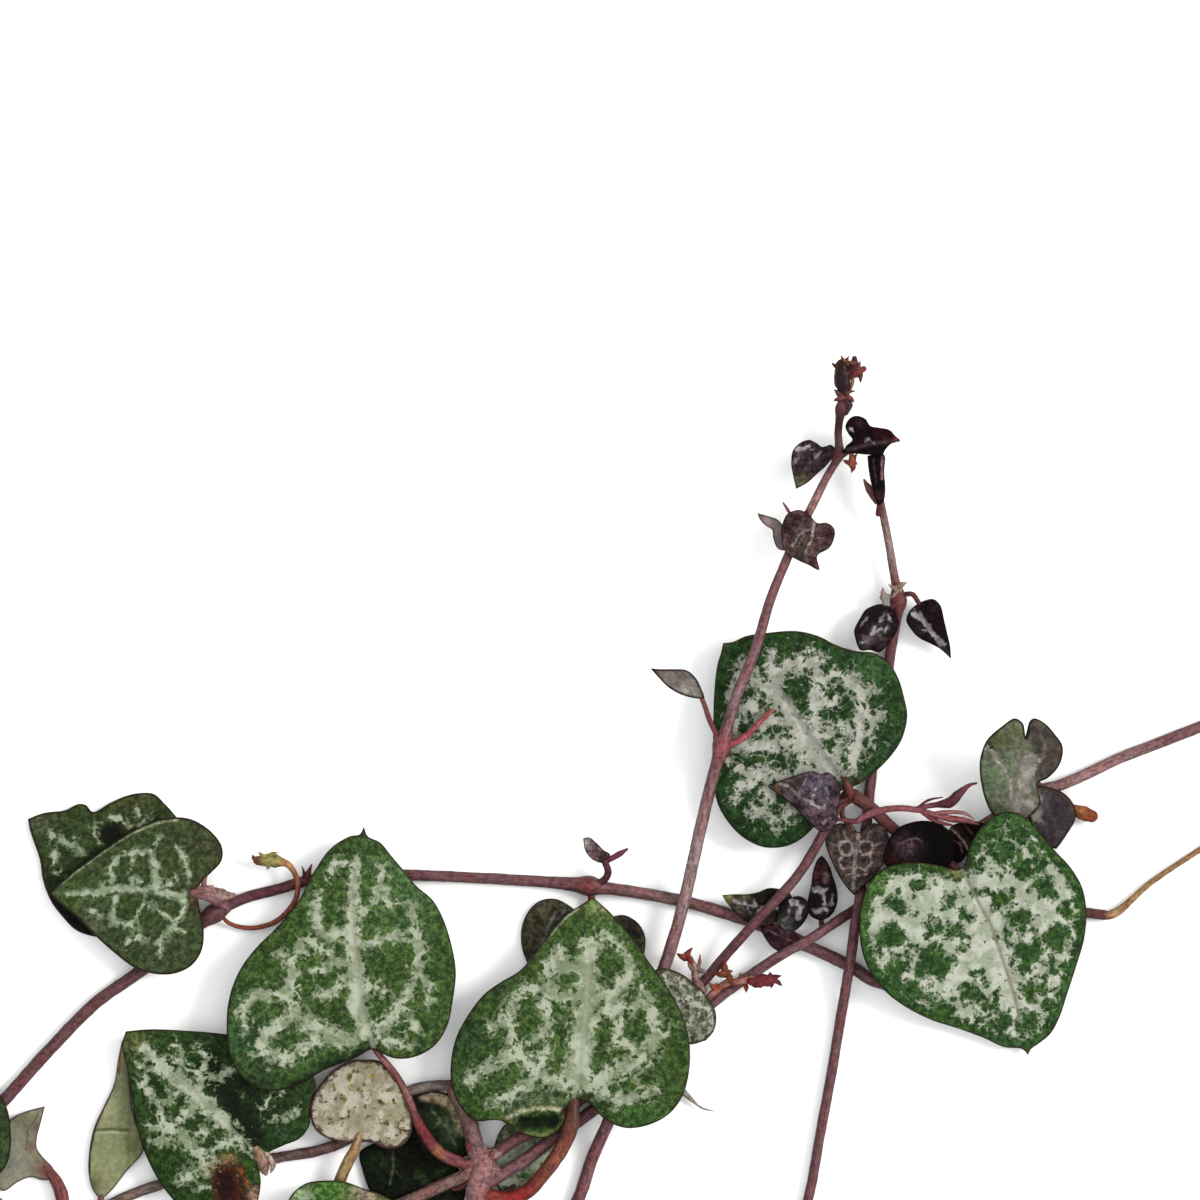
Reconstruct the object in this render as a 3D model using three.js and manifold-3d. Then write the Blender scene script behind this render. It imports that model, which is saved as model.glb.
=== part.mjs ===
// String of hearts: one cut piece of a trailing succulent vine, lying on a flat surface.
//
// Units are millimetres, +Z is up and the surface is z = 0. Places are given on a plan sheet that
// lies on the surface: x runs from the sheet's left edge to the right, y from its far edge towards
// the viewer, and z is the height above it. onSheet() turns a sheet place into the part's frame,
// whose origin is the middle of the underside of the part's box.

import * as THREE from "three";
import { mergeVertices } from "three/addons/utils/BufferGeometryUtils.js";
import Module from "manifold-3d";

const wasm = await Module();
wasm.setup();

// Driving dimensions.
const SHEET_CENTRE_X = 56.3;
const SHEET_CENTRE_Y = 82.6;
const STEM_SIDES = 6;
const STEM_STEP = 3.4; // length of one straight facet along a stem
const RUNNER_RADIUS = 0.62; // a full-grown trailing stem, 1.2 to 1.3 mm thick
const SHOOT_RADIUS = 0.45; // the same stem where it is still growing
const TIP_RADIUS = 0.36; // its last soft internode
const KNUCKLE_RADIUS = 0.92; // the swelling where a pair of leaves stands
const HUB_RADIUS = 1.5; // the woody joint where the runners part
const STALK_RADIUS = 0.5; // the stalk of a full-grown leaf
const THICK_LEAF = 1.1; // blade thickness of a full-grown leaf
const MIDDLE_LEAF = 0.8;
const SMALL_LEAF = 0.6;
const RIM_SHARE = 0.6; // thickness left at a blade's rim
const RING_SHARE = 0.6; // where the ring of points between centre and rim runs
const OUTLINE_STEP = 3.8; // length of one straight facet along a blade's outline
const FEWEST_OUTLINE_FACETS = 10;

const GREEN = 0x4a6b3e;
const DULL_GREEN = 0x4f5a36;
const DARK_LEAF = 0x3a2a2e;
const PALE_LEAF = 0x8c8f72;
const MAUVE = 0x7d5256;
const RED = 0x8f3f3a;
const TAN = 0xb08a5a;

const onSheet = ([x, y, z]) => new THREE.Vector3(x - SHEET_CENTRE_X, SHEET_CENTRE_Y - y, z);

const plant = new THREE.Group();

function addPiece(name, geometry, color) {
  const material = new THREE.MeshStandardMaterial({ color, roughness: 0.55, metalness: 0 });
  const mesh = new THREE.Mesh(geometry, material);
  mesh.name = name;
  plant.add(mesh);
}

// A closed geometry becomes a solid once it holds only shared positions.
function solidOf(geometry) {
  const bare = geometry.clone();
  bare.deleteAttribute("normal");
  bare.deleteAttribute("uv");
  const merged = mergeVertices(bare, 1e-5);
  return new wasm.Manifold(new wasm.Mesh({
    numProp: 3,
    vertProperties: new Float32Array(merged.attributes.position.array),
    triVerts: new Uint32Array(merged.index.array),
  }));
}

function geometryOf(solid) {
  const mesh = solid.getMesh();
  const geometry = new THREE.BufferGeometry();
  geometry.setAttribute("position", new THREE.BufferAttribute(new Float32Array(mesh.vertProperties), 3));
  geometry.setIndex(new THREE.BufferAttribute(new Uint32Array(mesh.triVerts), 1));
  return geometry;
}

const joined = (solids) => solids.reduce((whole, piece) => whole.add(piece));

// A round stem along a smooth curve through the places of its route.
function stemSolid(route, radius, sides = STEM_SIDES) {
  const curve = new THREE.CatmullRomCurve3(route.map(onSheet), false, "centripetal");
  const section = new THREE.Shape();
  for (let side = 0; side < sides; side++) {
    const angle = (2 * Math.PI * side) / sides;
    section.lineTo(radius * Math.cos(angle), radius * Math.sin(angle));
  }
  const steps = Math.max(2, Math.round(curve.getLength() / STEM_STEP));
  return solidOf(new THREE.ExtrudeGeometry(section, { steps, extrudePath: curve, bevelEnabled: false }));
}

// A round swelling on a stem, or a bud: a low ball, stretched where asked.
function ballSolid(place, radius, stretch = [1, 1, 1]) {
  const ball = new THREE.SphereGeometry(radius, 8, 6);
  ball.scale(...stretch);
  const centre = onSheet(place);
  ball.translate(centre.x, centre.y, centre.z);
  return solidOf(ball);
}

// A leaf blade over its outline. Its middle surface falls evenly from the stalk to the tip, and
// each half may rise or droop towards its rim. The outline starts and ends at the tip.
function bladeSolid({ outline, base, tip, rise = [0, 0], arch = 0, thickness }) {
  const flat = outline.map(([x, y]) => onSheet([x, y, 0]));
  const curve = new THREE.CatmullRomCurve3([...flat, flat[0]], false, "centripetal");
  const count = Math.max(FEWEST_OUTLINE_FACETS, Math.round(curve.getLength() / OUTLINE_STEP));
  const rim = curve.getSpacedPoints(count).slice(0, count);
  if (THREE.ShapeUtils.area(rim) < 0) rim.reverse();
  const middle = rim.reduce((sum, point) => sum.add(point), new THREE.Vector3()).divideScalar(count);

  const foot = onSheet(base);
  const end = onSheet(tip);
  const along = new THREE.Vector3(end.x - foot.x, end.y - foot.y, 0);
  const length = along.length();
  along.divideScalar(length);
  const aside = ({ x, y }) => along.x * (y - foot.y) - along.y * (x - foot.x);
  const widths = [
    Math.max(0.1, ...rim.map((point) => aside(point))),
    Math.max(0.1, ...rim.map((point) => -aside(point))),
  ];
  const height = (point) => {
    const run = ((point.x - foot.x) * along.x + (point.y - foot.y) * along.y) / length;
    const share = THREE.MathUtils.clamp(run, -0.15, 1);
    const side = aside(point) > 0 ? 0 : 1;
    const spread = aside(point) / widths[side];
    return foot.z + (end.z - foot.z) * share + 4 * arch * share * (1 - share) + rise[side] * spread ** 2;
  };

  const positions = [];
  const addRing = (share, offset) => {
    for (const point of rim) {
      const place = point.clone().sub(middle).multiplyScalar(share).add(middle);
      positions.push(place.x, place.y, height(place) + offset);
    }
  };
  const half = thickness / 2;
  addRing(1, half * RIM_SHARE);
  addRing(RING_SHARE, half);
  addRing(1, -half * RIM_SHARE);
  addRing(RING_SHARE, -half);
  positions.push(middle.x, middle.y, height(middle) + half, middle.x, middle.y, height(middle) - half);

  const index = [];
  const quad = (a, b, c, d) => index.push(a, b, c, a, c, d);
  for (let here = 0; here < count; here++) {
    const next = (here + 1) % count;
    quad(here, next, count + next, count + here);
    index.push(count + here, count + next, 4 * count);
    quad(2 * count + next, 2 * count + here, 3 * count + here, 3 * count + next);
    index.push(3 * count + next, 3 * count + here, 4 * count + 1);
    quad(2 * count + here, 2 * count + next, next, here);
  }
  const geometry = new THREE.BufferGeometry();
  geometry.setAttribute("position", new THREE.Float32BufferAttribute(positions, 3));
  geometry.setIndex(index);
  return solidOf(geometry);
}

function addLeaf(leaf) {
  const solids = [bladeSolid(leaf)];
  if (leaf.stalk) solids.push(stemSolid(leaf.stalk, leaf.stalkRadius ?? STALK_RADIUS, 6));
  addPiece(leaf.name, geometryOf(joined(solids)), leaf.color);
}

// Stems. Each one is a list of stretches with their own thickness, and its knuckles.
function addStem(name, stretches, knuckles = [], color = MAUVE) {
  const solids = stretches.map(([radius, route]) => stemSolid(route, radius));
  solids.push(...knuckles.map(([place, radius = KNUCKLE_RADIUS]) => ballSolid(place, radius)));
  addPiece(name, geometryOf(joined(solids)), color);
}

// The woody joint, with the main stem down to its cut end.
addStem("main_stem", [
  [1.15, [[48, 116.6, 1.7], [48.1, 119, 1.45], [48.5, 122, 1.3], [49.4, 125, 1.2], [50.6, 127.6, 1.15]]],
], [[[48, 116.5, 1.7], HUB_RADIUS]]);

// The left runner leaves the joint, turns round at the far left and comes back past the big
// leaves. Its pieces meet at knuckles, where a plant of this kind comes apart.
addStem("runner_left_outer", [
  [RUNNER_RADIUS, [
    [46.2, 117.6, 1.75], [44, 118.6, 1.8], [41, 120, 1.8], [38.6, 121, 1.75], [36, 122, 1],
    [33, 123, 0.68], [28, 124.2, 0.64], [21, 124.9, 0.62], [13, 124.7, 0.62], [8.2, 124, 0.7],
  ]],
]);
addStem("runner_left_turn", [
  [RUNNER_RADIUS, [
    [6, 123.3, 0.7], [1.5, 121.6, 0.62], [-1.6, 118.8, 0.62], [-2.6, 115.4, 0.62], [-1.8, 112.2, 0.62],
  ]],
], [[[6.6, 123.5, 0.93]]]);
addStem("runner_left", [
  [RUNNER_RADIUS, [
    [-1, 111, 0.62], [0.5, 109.5, 0.62], [5, 104.5, 0.62], [9.5, 100, 0.62], [14, 96.8, 0.62],
    [20.5, 92, 0.75], [21.5, 91.2, 0.8],
  ]],
], [[[21.9, 91, 0.93]]]);
addStem("runner_middle", [
  [RUNNER_RADIUS, [
    [23.1, 90.2, 0.8], [27.5, 89, 0.64], [31, 88, 0.64], [36, 87.5, 0.64],
    [41, 87.5, 0.64], [48, 87.8, 0.64], [56, 88.3, 0.64], [59, 88.6, 0.7], [64, 89.3, 0.64],
    [69, 90.3, 0.64], [75.5, 92.1, 0.64], [80, 94, 0.64], [85, 96.2, 0.64], [87.5, 97.9, 0.64],
    [92, 98.6, 0.64], [98, 96.2, 0.64], [104, 92.6, 0.64], [108.6, 91.2, 0.64],
  ]],
], [[[59, 88.6, 0.93]], [[79.2, 93.6, 0.82], 0.8]]);

addStem("runner_low", [
  [0.55, [
    [9.2, 122.6, 0.6], [10, 121.2, 0.58], [11.6, 120.2, 0.58], [13.8, 119.2, 0.58], [16.5, 118.3, 0.58],
    [22, 117, 0.58], [27.5, 115.8, 0.58], [32, 115, 0.58], [34.6, 114, 0.58], [37.5, 111.8, 0.58],
    [40, 109.5, 0.6], [42.5, 108.7, 0.7], [44.4, 108.6, 0.9],
  ]],
]);
addStem("runner_low_link", [
  [0.75, [[47.6, 114.6, 1.7], [47.1, 113, 1.6], [46.4, 111, 1.3], [45.6, 109.4, 1.1]]],
]);

// The long runner to the growing tip: flat on the surface, over the pair of inner runners, over
// the left runner and the big leaf, then up to the last soft internodes.
addStem("runner_long", [
  [RUNNER_RADIUS, [
    [51.7, 126.2, 1.1], [54.4, 124.8, 0.8], [56.3, 122.6, 0.65], [57.8, 120, 0.65], [59.3, 115.6, 0.75],
    [60.8, 112.2, 2], [61.8, 109.6, 2.2], [63.2, 105.5, 2.15], [64.8, 100.5, 2.1], [66.5, 96.5, 2.1],
    [68.3, 90.5, 2.2], [70, 83, 3.4], [71.2, 78, 4.2], [72.2, 74.5, 4.5], [73.5, 70, 4.6],
    [75.5, 65, 4.5], [77, 60, 3.8], [78.2, 57, 3.1],
  ]],
  [SHOOT_RADIUS, [[78, 57.4, 3.1], [79.5, 54, 2.7], [81, 51, 2.6], [82.5, 48, 2.8], [83.8, 45.5, 2.9]]],
  [TIP_RADIUS, [[83.7, 46, 2.9], [83.8, 43, 2.9], [84.1, 41, 3], [84.4, 39.9, 3]]],
], [[[72.2, 74.4, 4.5]], [[83.8, 45.6, 2.9], 0.6]]);

// The inner pair of runners, side by side from the joint, then parting.
addStem("runner_outer_right", [
  [RUNNER_RADIUS, [
    [50.1, 117.6, 1.8], [52.5, 116.4, 1.8], [56, 114.4, 1.7], [59, 112.3, 0.9], [61.5, 109.9, 0.62],
    [65.5, 105.8, 0.62], [71.2, 100.3, 0.62], [75.5, 97.2, 0.9], [78.4, 95.3, 2], [80.8, 94, 2.4],
    [83.4, 92.3, 1.5], [85.7, 90.8, 0.72], [90, 88, 0.66], [95, 84.8, 0.62], [100, 81.4, 0.62],
    [105, 78.6, 0.62], [108, 77.5, 0.62], [112, 75.6, 0.62], [116, 74.2, 0.62], [121, 72.3, 0.62],
  ]],
], [[[104.4, 78.9, 0.93]]]);
addStem("runner_inner_right", [
  [RUNNER_RADIUS, [
    [49.4, 115.2, 1.8], [51.5, 114, 1.8], [54.5, 112.3, 1.7], [57.5, 110.4, 0.9], [60.2, 108.2, 0.68],
    [65, 103.3, 0.64], [70, 98.5, 0.74], [73, 95, 1.8], [75.7, 92, 3.1], [78.5, 89, 3.2],
    [80, 87.2, 2.95], [82.2, 83.5, 2.6], [83.4, 81.2, 2.4], [84.9, 79.7, 2.15],
  ]],
], [[[85, 79.6, 2.1], 0.7]]);

// The right runner: over the two it crosses, under the big leaves and up to the second tip.
addStem("runner_right_foot", [
  [RUNNER_RADIUS, [
    [52.2, 127.7, 1.1], [57, 128.7, 0.7], [64, 128.8, 0.64], [71, 128, 0.64], [75.2, 126.9, 0.7],
  ]],
]);
addStem("runner_right", [
  [RUNNER_RADIUS, [
    [77.4, 125.8, 0.7], [79.6, 123.4, 0.62], [80.9, 119.5, 0.62], [82, 113.5, 0.62], [83.2, 107, 0.62], [84.1, 101.5, 0.8],
    [85, 96.2, 2.25], [85.5, 92.5, 2.35], [85.9, 90.3, 2.3], [86.2, 87, 1.15], [86.7, 82, 0.7],
    [87.2, 77, 0.64], [88.2, 71, 0.62], [89, 65.5, 0.7], [89.8, 60.2, 1.2],
  ]],
  [SHOOT_RADIUS, [[89.8, 60.4, 1.2], [89.4, 57.5, 1.4], [88.8, 54, 1.7], [88.2, 51, 2], [87.8, 49, 2.1],
    [87.4, 47, 2.2]]],
], [[[76.8, 126.2, 0.93]], [[89.8, 60.2, 1.2], 0.8]]);

// Full-grown leaves.
const BIG_LEAVES = [
  {
    name: "leaf_left_large", base: [37.4, 104.4, 3.9], tip: [36.4, 82.6, 2.7], rise: [0.2, 0.4],
    outline: [
      [36.4, 82.6], [38.2, 84], [40.6, 87.2], [43.2, 90.2], [45.1, 94.2], [45.5, 98], [44.8, 102.2],
      [42.6, 105.1], [40.4, 105.9], [37.6, 104.7], [35.2, 105.5], [31.5, 106.8], [28.6, 108.7],
      [25.2, 108.4], [23, 105.6], [22.8, 101], [24.4, 96.6], [27, 93.4], [30, 89.8], [32.4, 85.8],
      [34.8, 83.8],
    ],
    stalk: [[37.3, 103.6, 3.9], [37.9, 105.6, 3.9], [38.9, 108, 3.75], [40.2, 110.6, 3.4],
      [41.8, 113.2, 3], [43.6, 115.2, 2.5], [45.6, 116.2, 2.1]],
  },
  {
    name: "leaf_lower_left", base: [25.6, 115.2, 2.5], tip: [12.6, 103.1, 2.1], rise: [0, 0],
    outline: [
      [12.6, 103.1], [15, 102.9], [18, 103], [22.6, 103.4], [26, 104.2], [29, 105.8], [30.6, 107.6],
      [30.4, 110.5], [30.3, 112.4], [28.4, 114.2], [26.4, 115.6], [26.2, 118.4], [26, 121], [23.8, 122.8],
      [20.8, 122.3], [18.2, 120.6], [16, 118], [14.2, 114.5], [13.2, 110], [12.5, 106.5],
    ],
    stalk: [[25.4, 115, 2.4], [26.4, 115.7, 2.3], [27, 115.9, 1.68]], stalkRadius: 0.45,
  },
  {
    name: "leaf_centre_large", base: [57.4, 109.4, 4], tip: [59.3, 89.7, 3.6], rise: [-0.9, 1.6],
    outline: [
      [59.3, 89.7], [61.6, 91.9], [64.6, 95.8], [67, 99.4], [68.6, 103], [69, 106], [68.2, 109.4],
      [66, 111.9], [62.6, 112.7], [59.6, 111.2], [57.5, 109.8], [55.8, 112], [53, 113.2], [49.6, 112.4],
      [46.6, 111], [45.2, 108], [45.4, 104.2], [47.2, 100.6], [50, 98.1], [53, 96], [55.8, 92.4],
      [57.6, 90.6],
    ],
    stalk: [[57.4, 108.8, 3.8], [57.5, 111, 3.75], [57.6, 113, 3.7], [56.8, 115.4, 3.3],
      [55.2, 117.8, 2.6], [53, 119.6, 2], [51.2, 120.2, 1.7], [49.8, 120.3, 1.6]],
    stalkRadius: 0.6,
  },
  {
    name: "leaf_upper_large", base: [84.4, 77.8, 3.3], tip: [72.3, 64.3, 2.8], rise: [-0.3, 0],
    outline: [
      [72.3, 64.3], [74.2, 63.6], [77.4, 63.2], [81, 63.3], [83.8, 64.6], [87, 65.3], [89.4, 67],
      [90.7, 70.8], [90.2, 73.8], [88.2, 76.4], [85.8, 78.4], [84.4, 78.2], [83, 79.8], [81.2, 82],
      [79.4, 84.3], [76.6, 84.7], [73.8, 83.4], [71.8, 80.6], [71.3, 76], [71.3, 70], [71.9, 66],
    ],
    stalk: [[84.2, 77.6, 3.3], [84.8, 78.4, 3.35], [85.1, 79.2, 3.4]], stalkRadius: 0.45,
  },
  {
    name: "leaf_right_large", base: [96.2, 87.2, 3.7], tip: [102.8, 105.5, 1], rise: [0.2, 1],
    outline: [
      [102.8, 105.5], [99.6, 104.6], [96.2, 103.1], [91.6, 101.4], [88.4, 99.2], [86.4, 96], [85.9, 92.4],
      [86.6, 88.8], [88.4, 86.8], [91.6, 86.1], [94.6, 86.4], [96.1, 86.8], [96.7, 84.8], [98, 82.4],
      [100.6, 81.1], [102.8, 81.9], [104.6, 84], [106.6, 86.2], [108.2, 88.8], [108.6, 92],
      [107.8, 96], [106.4, 100], [105.2, 103.2], [103.6, 105],
    ],
    stalk: [[96.4, 87.8, 3.7], [95.9, 86.8, 3.3], [95, 86.2, 2.5], [93.4, 85.5, 1.95],
      [91, 84.2, 1.95], [89, 82.6, 1.95], [87.2, 80.9, 2.05], [86, 80, 2.15]],
  },
];
for (const leaf of BIG_LEAVES) addLeaf({ ...leaf, thickness: THICK_LEAF, color: GREEN });

// The facing pair at the far left, duller, with one leaf lying on the other.
addLeaf({
  name: "leaf_pair_upper", thickness: 1, color: DULL_GREEN, base: [19.6, 89.3, 2.6], tip: [5, 89.3, 2.3],
  outline: [
    [5, 89.3], [7.4, 87.2], [11, 84.4], [14.6, 82.3], [18, 81.7], [20.8, 82.8], [22.3, 85.2],
    [21.2, 87.3], [19.9, 89], [20.2, 91.4], [20.4, 94.4], [19, 96.8], [16.4, 97.5], [13, 96.5],
    [9.6, 93.6], [6.6, 91],
  ],
  stalk: [[19.2, 89.3, 2.6], [20.8, 89.7, 2.6], [21.8, 90.4, 2.25]], stalkRadius: 0.4,
});
addLeaf({
  name: "leaf_pair_lower", thickness: 0.9, color: DULL_GREEN, base: [19.8, 87.6, 0.45], tip: [2.8, 81.9, 0.45],
  outline: [
    [2.8, 81.9], [5.6, 81.2], [8.3, 80.5], [9.3, 81.2], [12, 79.8], [14.8, 79.3], [17, 81], [18.8, 84],
    [20, 87.6], [18.6, 90.2], [15, 92.4], [11, 93.7], [8, 93], [5.2, 90.4], [4.1, 86.6], [3.2, 84],
  ],
  stalk: [[19.2, 87.4, 0.45], [20.5, 88.4, 0.7], [21.2, 89.6, 0.8]], stalkRadius: 0.35,
});

// Middle-sized leaves: older ones seen from below, and those under the big ones.
const MIDDLE_LEAVES = [
  {
    name: "leaf_pale_narrow", color: PALE_LEAF, base: [10.2, 119, 0.4], tip: [12.2, 104, 0.4],
    outline: [
      [12.2, 104], [12.9, 107], [13.3, 111], [14.3, 114.8], [12.8, 116.8], [11, 118.6], [10, 119.4],
      [9, 118.2], [8.9, 115], [10, 111.2], [11.6, 107.6],
    ],
    stalk: [[10.3, 117.4, 0.4], [10.4, 119.8, 0.4]], stalkRadius: 0.3,
  },
  {
    name: "leaf_speckled_round", color: PALE_LEAF, base: [36, 113.6, 2], tip: [36.4, 105.9, 1.9],
    outline: [
      [36.4, 105.9], [38.8, 106.7], [40.4, 109.3], [41.3, 112], [40.3, 114.6], [38.2, 114.8],
      [36, 114.1], [33.2, 114], [31.4, 112.8], [31.2, 110.4], [32.6, 107.8], [34.4, 106.4],
    ],
    stalk: [[36, 113.2, 2.1], [35.2, 114.9, 2.15], [34.5, 116.6, 1.9], [33.6, 118.8, 1.3],
      [32.9, 120.8, 1], [32.4, 121.9, 0.9]],
    stalkRadius: 0.45,
  },
  {
    name: "leaf_bottom_green", color: GREEN, base: [38.8, 122.6, 3], tip: [28.2, 129, 2.2],
    outline: [
      [28.2, 129], [27.6, 126], [28, 122.6], [29.4, 119.2], [31.4, 118.1], [34.8, 118.4], [38.4, 119.6],
      [40.2, 121], [39.2, 122.5], [40.2, 124.4], [38.6, 126.8], [35, 127.8], [31.6, 128.4],
    ],
    stalk: [[38, 122.8, 2.9], [39, 122.4, 2.9], [39.8, 121.9, 2.75]], stalkRadius: 0.35,
  },
  {
    name: "leaf_bottom_dark", color: DARK_LEAF, base: [45.2, 118.9, 0.4], tip: [40.6, 124.6, 0.4],
    outline: [
      [40.6, 124.6], [38.6, 122.2], [37, 119], [36.2, 115.4], [38.2, 115.3], [40.6, 114.6],
      [42.4, 115.8], [44.4, 117.4], [45.8, 118.4], [46, 120.4], [44.6, 122.6], [42.8, 124],
    ],
    stalk: [[44.8, 119, 0.5], [46.2, 119.6, 0.7]], stalkRadius: 0.3,
  },
  {
    name: "leaf_tan_rim", color: DULL_GREEN, base: [45.2, 111.2, 0.4], tip: [44.2, 116.2, 0.4],
    outline: [
      [44.2, 116.2], [42.8, 114.8], [41.4, 112.4], [41.5, 110.6], [43, 110], [44.8, 110.4],
      [45.6, 112.4], [46, 114.4],
    ],
    stalk: [[44.6, 111.2, 0.4], [45.2, 110.9, 0.5]], stalkRadius: 0.3,
  },
  {
    name: "leaf_under_runners", color: GREEN, base: [51, 118.9, 0.4], tip: [53.6, 111, 0.4],
    outline: [
      [53.6, 111.4], [55, 113], [55.6, 115.6], [54, 118.4], [52, 119], [50.6, 118.2], [49.9, 115],
      [50.6, 112.2],
    ],
    stalk: [[51.4, 118.6, 0.5], [50.6, 119.2, 0.7], [49.7, 119.4, 0.9]], stalkRadius: 0.3,
  },
  {
    name: "leaf_dark_hidden", color: DARK_LEAF, base: [59.2, 91.8, 0.4], tip: [57.8, 103.6, 0.4],
    outline: [
      [57.8, 103.6], [54.6, 99.8], [52.7, 96.4], [52.2, 93], [53.4, 90.3], [55.6, 90], [57.6, 91.2],
      [59.2, 92.2], [61, 91.7], [63.2, 91.8], [64.6, 94], [63.8, 97.4], [61.4, 101],
    ],
    stalk: [[59.2, 92.4, 0.6], [59.2, 91, 0.65], [59.1, 89.9, 0.7]], stalkRadius: 0.35,
  },
  {
    name: "leaf_speckled_right", color: PALE_LEAF, base: [65, 101, 3.25], tip: [70.6, 104, 2.6],
    outline: [
      [70.6, 104], [71.6, 102.6], [71.4, 100.6], [69.8, 98.6], [68, 97.2], [65.8, 96.8], [64.6, 98.4],
      [64.4, 100.8], [65.6, 103], [68.2, 104],
    ],
  },
  {
    name: "leaf_edge_left_dark", color: DULL_GREEN, base: [-0.6, 111.6, 1.9], tip: [-9, 112.4, 1.7],
    outline: [
      [-9, 112.4], [-6.4, 109.6], [-3.4, 108.2], [-0.8, 108.6], [0.6, 110.2], [1.1, 112.6], [1, 115],
      [0, 117], [-2, 118.2], [-4.2, 117.4], [-6.8, 115],
    ],
  },
  {
    name: "leaf_edge_left_pink", color: PALE_LEAF, base: [3.4, 116, 0.4], tip: [4.5, 110.6, 0.4],
    outline: [
      [4.5, 110.6], [4.1, 112.6], [3.9, 114.8], [4.2, 116.3], [2.6, 117.2], [0.4, 118.5], [-0.6, 117],
      [-0.3, 114.8], [0.6, 112.8], [1.8, 111.4],
    ],
    stalk: [[3, 116, 0.5], [4.6, 116.9, 0.8], [6, 118.5, 0.9], [6.6, 120.4, 0.8], [6.4, 122.4, 0.7]],
    stalkRadius: 0.4,
  },
  {
    name: "leaf_pale_raised", color: PALE_LEAF, base: [102.5, 74.4, 6], tip: [101.2, 82.4, 1.7],
    rise: [0.3, 0.3],
    outline: [
      [101.2, 82.4], [102.2, 80.6], [102.9, 78.5], [105.2, 77.2], [106.2, 75], [105, 72.8],
      [103.2, 71.9], [102.5, 74], [101.6, 71.9], [99.8, 72.6], [98.4, 74.4], [97.9, 77.6], [98.3, 80.4],
      [99.4, 82],
    ],
    stalk: [[102.4, 75, 6], [103, 73.7, 5.6], [104.2, 74.6, 4.2], [104.8, 76.4, 2.8], [104.7, 78, 2]],
    stalkRadius: 0.4,
  },
  {
    name: "leaf_mauve_right", color: DARK_LEAF, base: [104.6, 79.8, 2.3], tip: [105, 85.4, 1.6],
    outline: [
      [105, 85.4], [106.8, 84], [107.6, 81.8], [106.8, 79.8], [105.2, 78.9], [103.9, 79.2],
      [103.3, 80.8], [103, 82.6], [103.8, 84.4],
    ],
  },
];
for (const leaf of MIDDLE_LEAVES) addLeaf({ ...leaf, thickness: MIDDLE_LEAF });

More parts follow.
